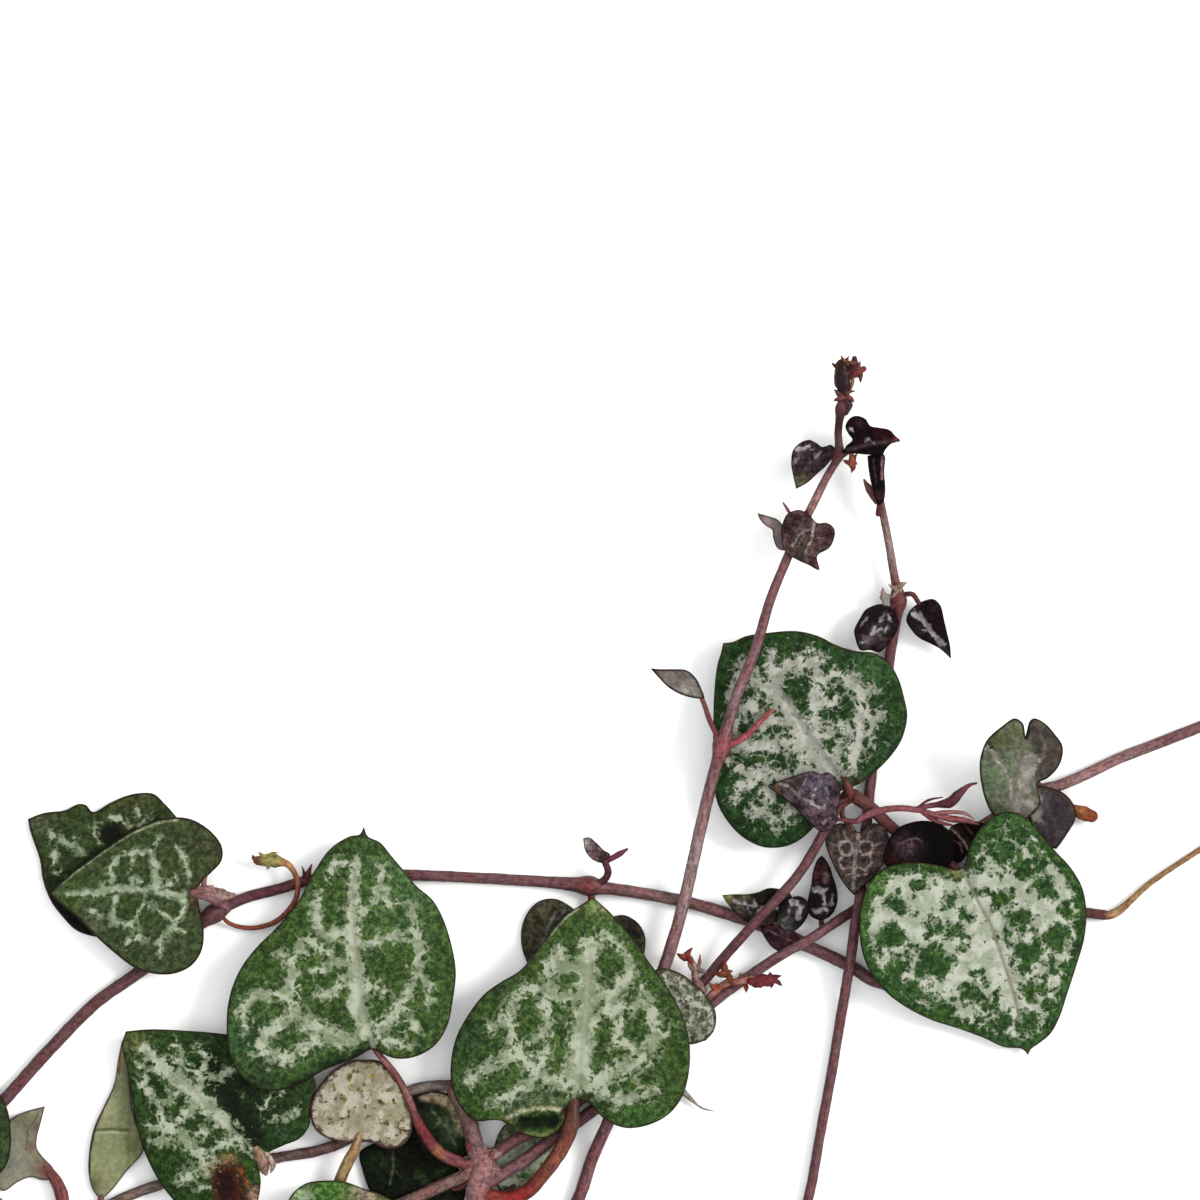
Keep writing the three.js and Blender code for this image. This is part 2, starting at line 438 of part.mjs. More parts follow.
// Small young leaves, nearly black, along the crossing of the runners and at their tips.
const SMALL_LEAVES = [
  {
    name: "leaf_purple", base: [82.6, 80, 4.4], tip: [76.3, 78.3, 4.2],
    outline: [
      [76.3, 78.3], [79, 77.6], [81.4, 77], [83.2, 77.8], [83.9, 79.2], [83.2, 80.2], [83.9, 81.6],
      [82.8, 83.1], [81.2, 82.4], [79.2, 80.7], [77.4, 79.5],
    ],
    stalk: [[82.4, 80, 4.4], [83.5, 80.4, 4], [83.9, 80.5, 3.25]],
  },
  {
    name: "leaf_netted", base: [85.6, 84, 2.4], tip: [85.3, 89.3, 2.9],
    outline: [
      [85.3, 89.3], [84.2, 87.6], [83.2, 85.6], [83.2, 83.8], [84.3, 82.9], [85.5, 83.8], [86.4, 82.7],
      [87.8, 82.6], [88.8, 84], [88.7, 85.8], [87.2, 87.3], [86, 88.4],
    ],
    stalk: [[85.6, 84.4, 2.4], [85.6, 82.8, 2.4], [85.4, 80.9, 2.25]],
  },
  {
    name: "leaf_black", base: [90.6, 84.4, 3.05], tip: [94.6, 85.2, 3.05],
    outline: [
      [94.7, 85.1], [94.7, 83.6], [93.6, 82.4], [92, 82.1], [90.6, 82.8], [90, 84.4], [90.8, 85.6],
      [92.6, 85.7],
    ],
    stalk: [[91, 84.4, 3], [90, 83.6, 2.85]],
  },
  {
    name: "leaf_leaflet", base: [95.9, 84.6, 2], tip: [98, 82.2, 2.1],
    outline: [
      [98.2, 82.2], [96.8, 82], [95.5, 82.8], [95.4, 84.4], [96, 85.3], [96.9, 84.3], [97.6, 83.4],
    ],
  },
  {
    name: "leaf_centre_dark", base: [78.4, 90.9, 1.8], tip: [72.2, 89.6, 1.8],
    outline: [
      [72.2, 89.6], [74.4, 89.3], [76.6, 89], [78.6, 89.2], [79, 90.6], [78.4, 92], [76, 92.6],
      [73.8, 91.8],
    ],
    stalk: [[78, 90.9, 1.8], [78.7, 91.9, 1.85], [78.9, 92.3, 1.9]],
  },
  {
    name: "leaf_silver_low", base: [79.9, 92.3, 2], tip: [80, 90.2, 2.1],
    outline: [
      [80, 90.1], [80.7, 90.8], [80.7, 92], [80, 92.6], [79.3, 92], [79.3, 90.8],
    ],
  },
  {
    name: "leaf_silver_high", base: [82, 91.2, 1.6], tip: [82.1, 85.8, 1.7],
    outline: [
      [82.1, 85.8], [83, 87.2], [83.7, 89.2], [83.2, 91], [82, 91.7], [81.2, 91], [81.1, 89], [81.5, 87],
    ],
    stalk: [[82, 91, 1.5], [82.1, 92, 1.2]],
  },
  {
    name: "leaf_tip_left", base: [82.2, 45.8, 3], tip: [79.5, 49, 2.4],
    outline: [
      [79.5, 49], [79.1, 46.6], [79.3, 45], [80.6, 44.1], [81.6, 44.6], [82.7, 44.7], [82.6, 46.2],
      [81.4, 47.6],
    ],
    stalk: [[81.8, 45.8, 3], [82.75, 45.7, 3]],
  },
  {
    name: "leaf_tip_right", base: [85.2, 45, 3.6], tip: [90, 44.2, 3.6],
    outline: [
      [90, 44.2], [88.4, 43], [87, 42.8], [85.8, 41.8], [84.7, 42.4], [84.8, 44], [85, 45.4],
      [86.8, 45.4], [88.8, 44.9],
    ],
    stalk: [[85.6, 44.8, 3.6], [84.8, 45.4, 3.3]],
  },
  {
    name: "leaf_upper_middle", base: [81, 52.6, 4], tip: [81.8, 57, 3.8],
    outline: [
      [81.8, 57], [80, 56], [78.4, 54.6], [77.9, 52.6], [78.6, 51.2], [80, 51], [81.4, 52.2],
      [82.8, 52.4], [83.6, 54], [82.8, 55.2], [81.6, 55.8],
    ],
    stalk: [[81, 53, 4], [80.7, 51.9, 3.7], [80.7, 51.6, 3.55]],
  },
  {
    name: "leaf_upper_edge", base: [78.3, 54.4, 2.4], tip: [75.7, 51.3, 2.4],
    outline: [
      [75.7, 51.3], [77.4, 52], [78.4, 53.2], [78.6, 54.4], [77.8, 54.8], [76.8, 53.2],
    ],
  },
  {
    name: "leaf_folded", base: [87.6, 49.6, 3.2], tip: [87.4, 45.8, 3.3],
    outline: [
      [87.4, 46], [88.2, 47], [88.2, 48.6], [87.9, 50], [87.2, 49.4], [86.8, 47.8], [86.8, 46.6],
    ],
  },
  {
    name: "leaf_knuckle_left", base: [88.6, 61.6, 2.2], tip: [87, 64.9, 2],
    outline: [
      [87, 64.9], [85.8, 64.4], [85.5, 63], [86.4, 61.6], [87.8, 60.6], [89.2, 61], [90, 62.4],
      [89.2, 63.8], [88.2, 64.6],
    ],
    stalk: [[88.4, 61.8, 2.2], [89.1, 60.8, 2.3]],
  },
  {
    name: "leaf_knuckle_right", base: [92, 61, 1.6], tip: [95.2, 66, 1.4],
    outline: [
      [95.2, 66], [93.4, 65], [91.6, 63.6], [90.8, 62.2], [91.6, 60.8], [93, 60.1], [94, 61],
      [94.5, 63.4],
    ],
    stalk: [[92.4, 61.4, 1.6], [91.7, 60.1, 1.7], [90.9, 59.6, 1.6]],
  },
  {
    name: "leaf_edge_on", base: [69.6, 69, 4.7], tip: [65, 66.8, 4.6],
    outline: [
      [65, 66.8], [67, 66.9], [69, 67.1], [70, 68.4], [70.1, 69.8], [68.6, 69.6], [66.6, 68.6],
    ],
    stalk: [[69.4, 69, 4.7], [70.4, 71, 4.7], [71.2, 73.2, 4.6]],
  },
];
for (const leaf of SMALL_LEAVES) {
  addLeaf({ ...leaf, thickness: SMALL_LEAF, color: DARK_LEAF, stalkRadius: 0.3 });
}

// Side shoots, flower stalks, dried flowers and stubs.
function addSprig(name, color, stretches, balls = []) {
  const solids = stretches.map(([radius, route]) => stemSolid(route, radius, 6));
  solids.push(...balls.map(([place, radius, stretch]) => ballSolid(place, radius, stretch)));
  addPiece(name, geometryOf(joined(solids)), color);
}

addSprig("shoot_centre", MAUVE, [
  [0.35, [[59.5, 87.6, 1.6], [60.6, 87.4, 2], [60.4, 86, 2.6]]],
  [0.3, [[60.4, 86.1, 2.6], [59.4, 85.2, 3], [58.4, 84, 3.2]]],
  [0.3, [[60.4, 86.1, 2.6], [61.4, 85.5, 2.8], [62.6, 85, 2.8]]],
]);
addSprig("tip_bud", RED, [
  [0.45, [[84.4, 39.5, 3], [84.4, 38.6, 3.05], [84.3, 37.4, 3.1]]],
  [0.3, [[84.4, 38.2, 3.05], [85.3, 37.2, 3.1], [86.2, 36.8, 3.1]]],
], [[[84.2, 36.8, 3.1], 0.8, [0.8, 1.2, 0.8]]]);
addSprig("tip_flower", TAN, [
  [0.3, [[85.2, 45.9, 2.6], [85.2, 46.8, 2.5]]],
]);
addSprig("bract", RED, [
  [0.3, [[86.9, 49.5, 2], [86.6, 48.9, 2], [86.2, 48.2, 2]]],
]);
addSprig("flower_stalk", RED, [
  [0.35, [[85.4, 81.6, 3.3], [86.5, 81.2, 3.4], [88, 80.7, 3.4], [90.5, 80.3, 3.4], [94, 80.5, 3.3],
    [95.6, 80, 3.3]]],
  [0.3, [[92.6, 80.4, 3.3], [93.6, 80.8, 3.2], [94.4, 81.1, 3.2]]],
], [[[96, 79.5, 3.3], 0.75, [1.2, 1, 0.8]], [[94.6, 81.2, 3.2], 0.6, [1.4, 0.8, 0.8]]]);
addSprig("tendril", TAN, [
  [0.3, [[22.9, 92, 0.8], [25, 92.8, 0.6], [27.5, 92.2, 0.6], [29.2, 90.6, 1], [29.8, 89, 1.8],
    [29.6, 87.6, 1.9], [28.9, 86.5, 1.6], [27.8, 86.1, 1.5]]],
], [[[27, 86, 1.5], 1, [1.5, 0.8, 0.8]]]);
addSprig("sprout", MAUVE, [
  [0.3, [[30.9, 87.2, 1.2], [31, 86.6, 1.6], [31.1, 85.9, 1.9]]],
]);
addSprig("dried_flowers", RED, [
  [0.35, [[71.4, 99.2, 1.7], [72.6, 98.3, 1.7], [74, 97.6, 2.2], [76, 97.3, 2.6]]],
  [0.3, [[72.6, 98.3, 1.7], [72.4, 97.2, 1.9], [72.8, 96.6, 2]]],
], [[[76.8, 97.3, 2.7], 0.7, [1.4, 0.8, 0.8]]]);
addSprig("dried_florets", TAN, [
  [0.3, [[69.6, 98, 1.6], [69.4, 96.6, 1.8], [68.8, 95.4, 1.8]]],
  [0.3, [[69.4, 96.6, 1.8], [70, 95.6, 1.8]]],
]);
addSprig("broken_stalk", RED, [
  [0.3, [[73.5, 74.2, 4.5], [75, 73.2, 4.4], [76, 71.9, 4.3], [77.2, 71, 4.2]]],
]);
addSprig("dry_stub", TAN, [
  [0.3, [[66.4, 106.7, 0.7], [68.2, 109, 0.6], [70, 110.8, 0.5], [71.2, 111, 0.5]]],
]);
addSprig("dry_stem", TAN, [
  [0.35, [[108.9, 91.2, 0.6], [111, 91.6, 0.5], [115, 88, 0.5], [120, 84.7, 0.5], [121.4, 83.9, 0.5]]],
]);
addSprig("side_bud", TAN, [
  [0.35, [[105.9, 79.5, 1], [107.2, 80.6, 1], [108.4, 81, 1.1]]],
], [[[109, 81.3, 1.1], 0.65, [1.3, 1, 0.9]]]);

export default plant;
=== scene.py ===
import bpy
import numpy as np
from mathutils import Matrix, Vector, noise


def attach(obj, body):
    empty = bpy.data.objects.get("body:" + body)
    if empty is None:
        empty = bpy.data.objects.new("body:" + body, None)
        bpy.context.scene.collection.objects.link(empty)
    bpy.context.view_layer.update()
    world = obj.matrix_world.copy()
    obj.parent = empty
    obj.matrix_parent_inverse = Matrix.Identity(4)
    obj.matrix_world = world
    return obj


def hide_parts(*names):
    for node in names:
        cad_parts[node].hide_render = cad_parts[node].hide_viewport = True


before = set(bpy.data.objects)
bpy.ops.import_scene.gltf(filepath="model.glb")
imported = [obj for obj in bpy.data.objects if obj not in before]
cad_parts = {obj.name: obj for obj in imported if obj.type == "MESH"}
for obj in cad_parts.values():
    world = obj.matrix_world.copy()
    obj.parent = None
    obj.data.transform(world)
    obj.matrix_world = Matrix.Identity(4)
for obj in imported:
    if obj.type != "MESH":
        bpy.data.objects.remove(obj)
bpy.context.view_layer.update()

# The surface that the cut vine lies on: a plain, nearly white sheet of board, lit softly from the
# right. The camera looks straight down on it. Places are given in millimetres on a plan sheet:
# x to the right, y towards the viewer, z above the surface.
MM_PER_METRE = 1000
SHEET_CENTRE = np.array((56.3, 82.6))
BOARD_SIZE = 3
BOARD_SHADES = ((0.86, 0.855, 0.84, 1), (0.89, 0.885, 0.875, 1))
VIEW_CENTRE = (60, 60)
VIEW_WIDTH = 120
CAMERA_HEIGHT = 3.0
SENSOR_WIDTH = 36
WINDOW_STRENGTH = 2.9
WINDOW_BREADTH = 0.4
WINDOW_COLOUR = (1.0, 0.985, 0.96)
WINDOW_SIDE = (0.78, 0.16, 0.6)
ROOM_STRENGTH = 1.35
ROOM_COLOUR = (0.97, 0.985, 1.0, 1)


def flat(places):
    away = np.array(places, float)[:, :2] - SHEET_CENTRE
    return away * (1, -1)


def tone(code, strength=0.48):
    """The surface colour that looks like this code in this light, which is bright."""
    parts = np.array([int(code[k:k + 2], 16) / 255 for k in (1, 3, 5)])
    linear = np.where(parts < 0.04045, parts / 12.92, ((parts + 0.055) / 1.055) ** 2.4)
    return tuple(linear * strength)


def new_material(name):
    material = bpy.data.materials.new(name)
    material.use_nodes = True
    tree = material.node_tree
    return material, tree, tree.nodes["Principled BSDF"]


board, tree, shader = new_material("white_board")
grain = tree.nodes.new("ShaderNodeTexNoise")
grain.inputs["Scale"].default_value = 60
ramp = tree.nodes.new("ShaderNodeValToRGB")
ramp.color_ramp.elements[0].color = BOARD_SHADES[0]
ramp.color_ramp.elements[1].color = BOARD_SHADES[1]
tree.links.new(grain.outputs["Fac"], ramp.inputs["Fac"])
tree.links.new(ramp.outputs["Color"], shader.inputs["Base Color"])
shader.inputs["Roughness"].default_value = 0.9
bpy.ops.mesh.primitive_plane_add(size=BOARD_SIZE, location=(0, 0, 0))
surface = bpy.context.object
surface.name = "surface"
surface.data.materials.append(board)

view_x, view_y = flat([VIEW_CENTRE])[0] / MM_PER_METRE
camera = bpy.data.objects.new("camera", bpy.data.cameras.new("camera"))
bpy.context.collection.objects.link(camera)
camera.location = (view_x, view_y, CAMERA_HEIGHT)
camera.data.sensor_width = SENSOR_WIDTH
camera.data.lens = SENSOR_WIDTH * CAMERA_HEIGHT * MM_PER_METRE / VIEW_WIDTH
bpy.context.scene.camera = camera

window = bpy.data.objects.new("window", bpy.data.lights.new("window", "SUN"))
bpy.context.collection.objects.link(window)
window.data.energy = WINDOW_STRENGTH
window.data.angle = WINDOW_BREADTH
window.data.color = WINDOW_COLOUR
window.rotation_euler = Vector(WINDOW_SIDE).to_track_quat("Z", "Y").to_euler()
world = bpy.data.worlds.new("room")
world.use_nodes = True
world.node_tree.nodes["Background"].inputs["Color"].default_value = ROOM_COLOUR
world.node_tree.nodes["Background"].inputs["Strength"].default_value = ROOM_STRENGTH
bpy.context.scene.world = world
bpy.context.scene.view_settings.view_transform = "Standard"

# The woody joint where the runners part, with the main stem down to its cut end: a knobbly mauve
# stem, smooth skinned and a little ridged, that has thickened with age.
MAUVE = "#8A5E62"
DEEP_MAUVE = "#3C2327"
PINK = "#A27A7C"
RED_STALK = "#7E3C3F"
DEEP_RED = "#3E181B"
END_TURNS = (1.35, 0.95, 0.5)
CURVE_POINTS = 20
COARSE_LUMPS = 0.9
FINE_LUMPS = 0.35
STREAK_STRETCH = 3


def placed(places):
    return np.column_stack([flat(places), np.array(places, float)[:, 2]])


def rough(points, size, shift=0.0):
    return np.array([noise.noise(Vector(point) / size + Vector((shift, shift, shift))) for point in points])


def smooth_path(places, step):
    """A smooth curve through the places, as points about one step apart, with their distance along it."""
    p = np.vstack([2 * places[0] - places[1], places, 2 * places[-1] - places[-2]])
    share = np.linspace(0, 1, CURVE_POINTS, endpoint=False)[:, None]
    stretches = []
    for a, b, c, d in zip(p, p[1:], p[2:], p[3:]):
        first, middle, last = [max(np.linalg.norm(v) ** 0.5, 0.01) for v in (b - a, c - b, d - c)]
        leave = middle * ((b - a) / first - (c - a) / (first + middle) + (c - b) / middle)
        arrive = middle * ((c - b) / middle - (d - b) / (middle + last) + (d - c) / last)
        stretches.append((2 * share**3 - 3 * share**2 + 1) * b + (share**3 - 2 * share**2 + share) * leave
                         + (3 * share**2 - 2 * share**3) * c + (share**3 - share**2) * arrive)
    curve = np.vstack(stretches + [p[-2:-1]])
    travelled = np.concatenate([[0], np.cumsum(np.linalg.norm(np.diff(curve, axis=0), axis=1))])
    along = np.linspace(0, travelled[-1], max(3, int(travelled[-1] / step) + 1))
    return np.stack([np.interp(along, travelled, axis) for axis in curve.T], 1), along


def painted(plan, ground, tints):
    """The colour of each point: its ground colour, changed round some places, each (x, y, size, colour)."""
    colours = np.array(ground, float) * np.ones((len(plan), 3))
    for x, y, size, code in tints:
        weight = np.exp(-(np.hypot(*(plan - flat([(x, y)])).T) / size) ** 2)[:, None]
        colours = colours * (1 - weight) + np.array(tone(code)) * weight
    return colours


def tube(places, radius, light=MAUVE, dark=DEEP_MAUVE, swell=(), tints=(), step=0.35, sides=14, wobble=0.06,
         skin=0):
    """A stem along a smooth route, with rounded ends. Each swelling is (x, y, extra radius, size)."""
    path, along = smooth_path(placed(places), step)
    width = np.interp(along, np.linspace(0, along[-1], len(radius)), radius)
    for x, y, extra, size in swell:
        middle = along[np.argmin(np.hypot(*(path[:, :2] - flat([(x, y)])).T))]
        width = width + extra * np.exp(-((along - middle) / size) ** 2)
    course = np.gradient(path, axis=0)
    course /= np.linalg.norm(course, axis=1)[:, None]
    caps = len(END_TURNS)

    def capped(row):
        return np.concatenate([row[:1]] * caps + [row] + [row[-1:]] * caps)

    path, along, width, course = capped(path), capped(along), capped(width), capped(course)
    for end, way in ((0, -1), (-1, 1)):
        for k, turn in enumerate(END_TURNS):
            ring = k if end == 0 else -1 - k
            full = width[caps if end == 0 else -1 - caps]
            path[ring] = path[ring] + way * course[ring] * full * np.sin(turn)
            width[ring] = full * np.cos(turn)
    across = np.zeros_like(path)
    side = np.cross(course[0], (0, 0, 1))
    if np.linalg.norm(side) < 0.2:
        side = np.array((1.0, 0, 0))
    for k, way in enumerate(course):
        side = side - way * (side @ way)
        side /= np.linalg.norm(side)
        across[k] = side
    upward = np.cross(across, course)
    angle = np.linspace(0, 2 * np.pi, sides, endpoint=False)
    outward = np.cos(angle)[None, :, None] * across[:, None] + np.sin(angle)[None, :, None] * upward[:, None]
    points = (path[:, None] + width[:, None, None] * outward).reshape(-1, 3)
    lumps = wobble * (rough(points, COARSE_LUMPS) + 0.6 * rough(points, FINE_LUMPS, 9))
    points = points + outward.reshape(-1, 3) * (lumps * np.repeat(width, sides))[:, None]
    # Painted light and shade: the ground colour is the light colour on top of the tube and turns mostly to
    # the dark colour down its sides and underneath.
    lit = np.clip(0.06 + 1.06 * outward.reshape(-1, 3)[:, 2:], 0, 1) ** 1.2
    ground = painted(points[:, :2], tone(light), tints) * (0.25 + 0.75 * lit)
    ground += np.array(tone(dark)) * (1 - lit) * 0.75
    marks = np.column_stack([np.tile(np.cos(angle), len(path)), np.tile(np.sin(angle), len(path)),
                             np.repeat(along, sides) / STREAK_STRETCH + places[0][0]])
    here = np.arange(len(path) - 1)[:, None] * sides + np.arange(sides)
    there = np.arange(len(path) - 1)[:, None] * sides + (np.arange(sides) + 1) % sides
    walls = np.stack([here + sides, there + sides, there, here], -1).reshape(-1, 4)
    ends = [list(range(sides)), list(range(len(points) - sides, len(points)))[::-1]]
    return dict(points=points, faces=walls.tolist() + ends, ground=ground, marks=marks, skin=skin)


def grow(node, sheets, skins):
    """Joins sheets of mesh into the one piece that stands for its node."""
    faces, skin_of, start = [], [], 0
    for sheet in sheets:
        faces += [[start + corner for corner in face] for face in sheet["faces"]]
        skin_of += [sheet["skin"]] * len(sheet["faces"])
        start += len(sheet["points"])
    mesh = bpy.data.meshes.new(node + "_shape")
    mesh.from_pydata((np.vstack([sheet["points"] for sheet in sheets]) / MM_PER_METRE).tolist(), [], faces)
    # The ground colour goes to the mesh as an attribute. On the stems it holds painted light and shade, and
    # on some leaves painted shade and highlights.
    colours = np.column_stack([np.vstack([sheet["ground"] for sheet in sheets]), np.ones(start)])
    mesh.attributes.new("ground", "FLOAT_COLOR", "POINT").data.foreach_set("color", colours.ravel())
    marks = np.vstack([sheet["marks"] for sheet in sheets])
    mesh.attributes.new("marks", "FLOAT_VECTOR", "POINT").data.foreach_set("vector", marks.ravel())
    for skin in skins:
        mesh.materials.append(skin)
    mesh.polygons.foreach_set("material_index", skin_of)
    mesh.polygons.foreach_set("use_smooth", [True] * len(faces))
    piece = bpy.data.objects.new(node + "_shape", mesh)
    bpy.context.collection.objects.link(piece)
    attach(piece, "root")
    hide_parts(node)


def noise_node(tree, source, scale, detail=3.0, roughness=0.55):
    texture = tree.nodes.new("ShaderNodeTexNoise")
    texture.inputs["Scale"].default_value = scale
    texture.inputs["Detail"].default_value = detail
    texture.inputs["Roughness"].default_value = roughness
    tree.links.new(source, texture.inputs["Vector"])
    return texture.outputs["Fac"]


def spread(tree, source, low, high, out_low=0.0, out_high=1.0):
    """Maps a value from low..high to out_low..out_high, smoothly and held at both ends."""
    node = tree.nodes.new("ShaderNodeMapRange")
    node.interpolation_type = "SMOOTHSTEP"
    tree.links.new(source, node.inputs["Value"])
    for key, value in (("From Min", low), ("From Max", high), ("To Min", out_low), ("To Max", out_high)):
        node.inputs[key].default_value = value
    return node.outputs["Result"]


def blend(tree, amount, first, second, kind="MIX"):
    """Mixes two colours, each a socket or a colour of its own."""
    node = tree.nodes.new("ShaderNodeMix")
    node.data_type = "RGBA"
    node.blend_type = kind
    if hasattr(amount, "links"):
        tree.links.new(amount, node.inputs["Factor"])
    else:
        node.inputs["Factor"].default_value = amount
    for key, value in ((6, first), (7, second)):
        if hasattr(value, "links"):
            tree.links.new(value, node.inputs[key])
        else:
            node.inputs[key].default_value = (*value, 1)
    return node.outputs[2]


def bumped(tree, shader, height, depth):
    bump = tree.nodes.new("ShaderNodeBump")
    bump.inputs["Distance"].default_value = depth
    bump.inputs["Strength"].default_value = 1.0
    tree.links.new(height, bump.inputs["Height"])
    tree.links.new(bump.outputs["Normal"], shader.inputs["Normal"])


def stem_material(name, fleck, roughness=0.5):
    """Skin of a stem, live or dried: streaks along it, specks, and its ground colour from the mesh."""
    material, tree, shader = new_material(name)
    ground = tree.nodes.new("ShaderNodeAttribute")
    ground.attribute_name = "ground"
    marks = tree.nodes.new("ShaderNodeAttribute")
    marks.attribute_name = "marks"
    place = tree.nodes.new("ShaderNodeTexCoord").outputs["Object"]
    streaks = noise_node(tree, marks.outputs["Vector"], 2.2, 4)
    specks = noise_node(tree, place, 2300, 3, 0.65)
    patches = noise_node(tree, place, 420, 3)
    darker = blend(tree, 1.0, ground.outputs["Color"], (0.42, 0.36, 0.38), "MULTIPLY")
    ruddy = blend(tree, 1.0, ground.outputs["Color"], (1.1, 0.72, 0.7), "MULTIPLY")
    pale = blend(tree, 1.0, ground.outputs["Color"], (1.5, 1.42, 1.38), "MULTIPLY")
    colour = blend(tree, spread(tree, patches, 0.47, 0.6, 0, 0.7), ground.outputs["Color"], ruddy)
    colour = blend(tree, spread(tree, streaks, 0.47, 0.6, 0, 0.6), colour, tone(fleck))
    colour = blend(tree, spread(tree, specks, 0.52, 0.6, 0, 0.6), colour, darker)
    colour = blend(tree, spread(tree, specks, 0.46, 0.4, 0, 0.45), colour, pale)
    tree.links.new(colour, shader.inputs["Base Color"])
    shader.inputs["Roughness"].default_value = roughness
    shader.inputs["Specular IOR Level"].default_value = 0.14
    bumped(tree, shader, streaks, 0.0001)
    return material


stem_skin = stem_material("stem_skin", DEEP_MAUVE)
red_skin = stem_material("red_stalk_skin", DEEP_RED, 0.42)


def stem(node, places, radius, **details):
    grow(node, [tube(places, radius, **details)], [stem_skin])


grow("main_stem", [
    tube([(48.1, 115.3, 1.7), (48.3, 116.8, 1.7), (47.9, 118.6, 1.5), (47.8, 120.4, 1.35),
          (48.4, 122.6, 1.25), (49.4, 125, 1.2), (50.6, 127.6, 1.15)], [0.85, 1.2, 1.2, 1.2, 1.15],
         "#AE8886", "#6B454B", swell=[(48, 116.6, 0.35, 1.3)], sides=20, wobble=0.08,
         tints=[(49.4, 120, 1.4, RED_STALK)]),
    tube([(46.9, 117, 1.8), (48.2, 115.9, 1.9), (49.8, 115.2, 1.9)], [0.6, 1.0, 0.6], PINK, "#6B454B",
         wobble=0.1),
    tube([(47.1, 114.4, 1.7), (48, 116, 1.8), (50, 117.4, 1.8)], [0.6, 0.95, 0.6], PINK, "#6B454B",
         wobble=0.1),
    tube([(46.9, 115, 1.9), (46.9, 114.5, 2.2)], [0.3, 0.36], "#9A4A4C", "#4A1E22", step=0.15),
    tube([(48.8, 115.8, 2.3), (49.2, 115.3, 2.6)], [0.34, 0.3], "#8A5A46", "#3E2018", step=0.15),
], [stem_skin])

# The runners: long, thin, smooth mauve stems that trail over each other. Each swells into a knuckle
# where a pair of leaves stands, and grows redder and thinner towards its tip.
stem("runner_left_outer", [(47.2, 117.2, 1.75), (44, 118.6, 1.8), (41, 120, 1.8), (38.6, 121, 1.75),
     (36, 122, 1), (33, 123, 0.68), (28, 124.2, 0.64), (21, 124.9, 0.62), (13, 124.7, 0.62),
     (7.6, 123.9, 0.88)], [0.66, 0.62, 0.62], light="#8C6E64", swell=[(7, 123.8, 0.25, 0.9)])
stem("runner_left_turn", [(7.2, 123.7, 0.88), (1.5, 121.6, 0.62), (-1.6, 118.8, 0.62), (-2.6, 115.4, 0.62),
     (-1.8, 112.2, 0.62), (-1.2, 111.2, 0.62)], [0.62, 0.62], swell=[(6.6, 123.5, 0.28, 0.8)])
stem("runner_left", [(-1.4, 111.9, 0.62), (0.7, 109.7, 0.62), (5.2, 104.7, 0.62), (9.7, 100.2, 0.62),
     (14.2, 97, 0.62), (20.5, 92, 0.9), (22.4, 90.7, 0.95)], [0.62, 0.62], light="#734A4D", dark="#331D20",
     swell=[(21.6, 91.2, 0.36, 1.3)])
stem("runner_middle", [(22, 90.9, 0.8), (24.5, 89.8, 0.7), (27.5, 89, 0.64), (31, 88, 0.64),
     (36, 87.5, 0.64), (41, 87.5, 0.64), (48, 87.8, 0.64), (56, 88.3, 0.7), (59, 88.6, 0.98),
     (64, 89.3, 0.64), (69, 90.3, 0.64), (75.5, 92.3, 0.64), (79.4, 94, 0.84), (85, 96.6, 0.64),
     (87.5, 98.1, 0.64), (92, 98.6, 0.64), (98, 96.2, 0.64), (104, 92.6, 0.64), (108, 91.3, 0.64),
     (110.4, 91.5, 0.6)], [0.56, 0.55, 0.55, 0.6, 0.62, 0.62, 0.62, 0.5],
     light="#80565A", dark="#351E23",
     swell=[(59, 88.5, 0.36, 0.9), (58, 88.4, 0.14, 2.2), (79.2, 93.6, 0.2, 0.9)],
     tints=[(27, 89.2, 3.4, "#5C363C"), (66, 89.6, 4, "#967672"), (59, 88.6, 1.2, "#8F4E50"),
            (109, 91.3, 2, "#6B4436")])
stem("runner_low", [(9.2, 122.6, 0.6), (10, 121.2, 0.58), (11.6, 120.2, 0.58), (13.8, 119.2, 0.58),
     (16.5, 118.3, 0.58), (22, 117, 0.58), (27.5, 115.8, 0.58), (32, 115, 0.58), (34.6, 114, 0.58),
     (37.5, 111.8, 0.58), (40, 109.5, 0.6), (42.5, 108.7, 0.7), (45, 108.5, 0.9)], [0.55, 0.55],
     light="#85736A", dark="#2E2420", wobble=0.12,
     tints=[(42, 108.8, 2, "#958C82"), (30, 115.4, 3, "#6E5854")])
stem("runner_low_link", [(48, 115.8, 1.7), (47.2, 113.2, 1.5), (46.6, 111.3, 1.2), (45.3, 109.1, 1)],
     [0.85, 0.86, 0.84, 0.6], light="#8E6A68", dark="#543A3E", wobble=0.1, tints=[(46, 110.4, 1, "#8E7A6A")])
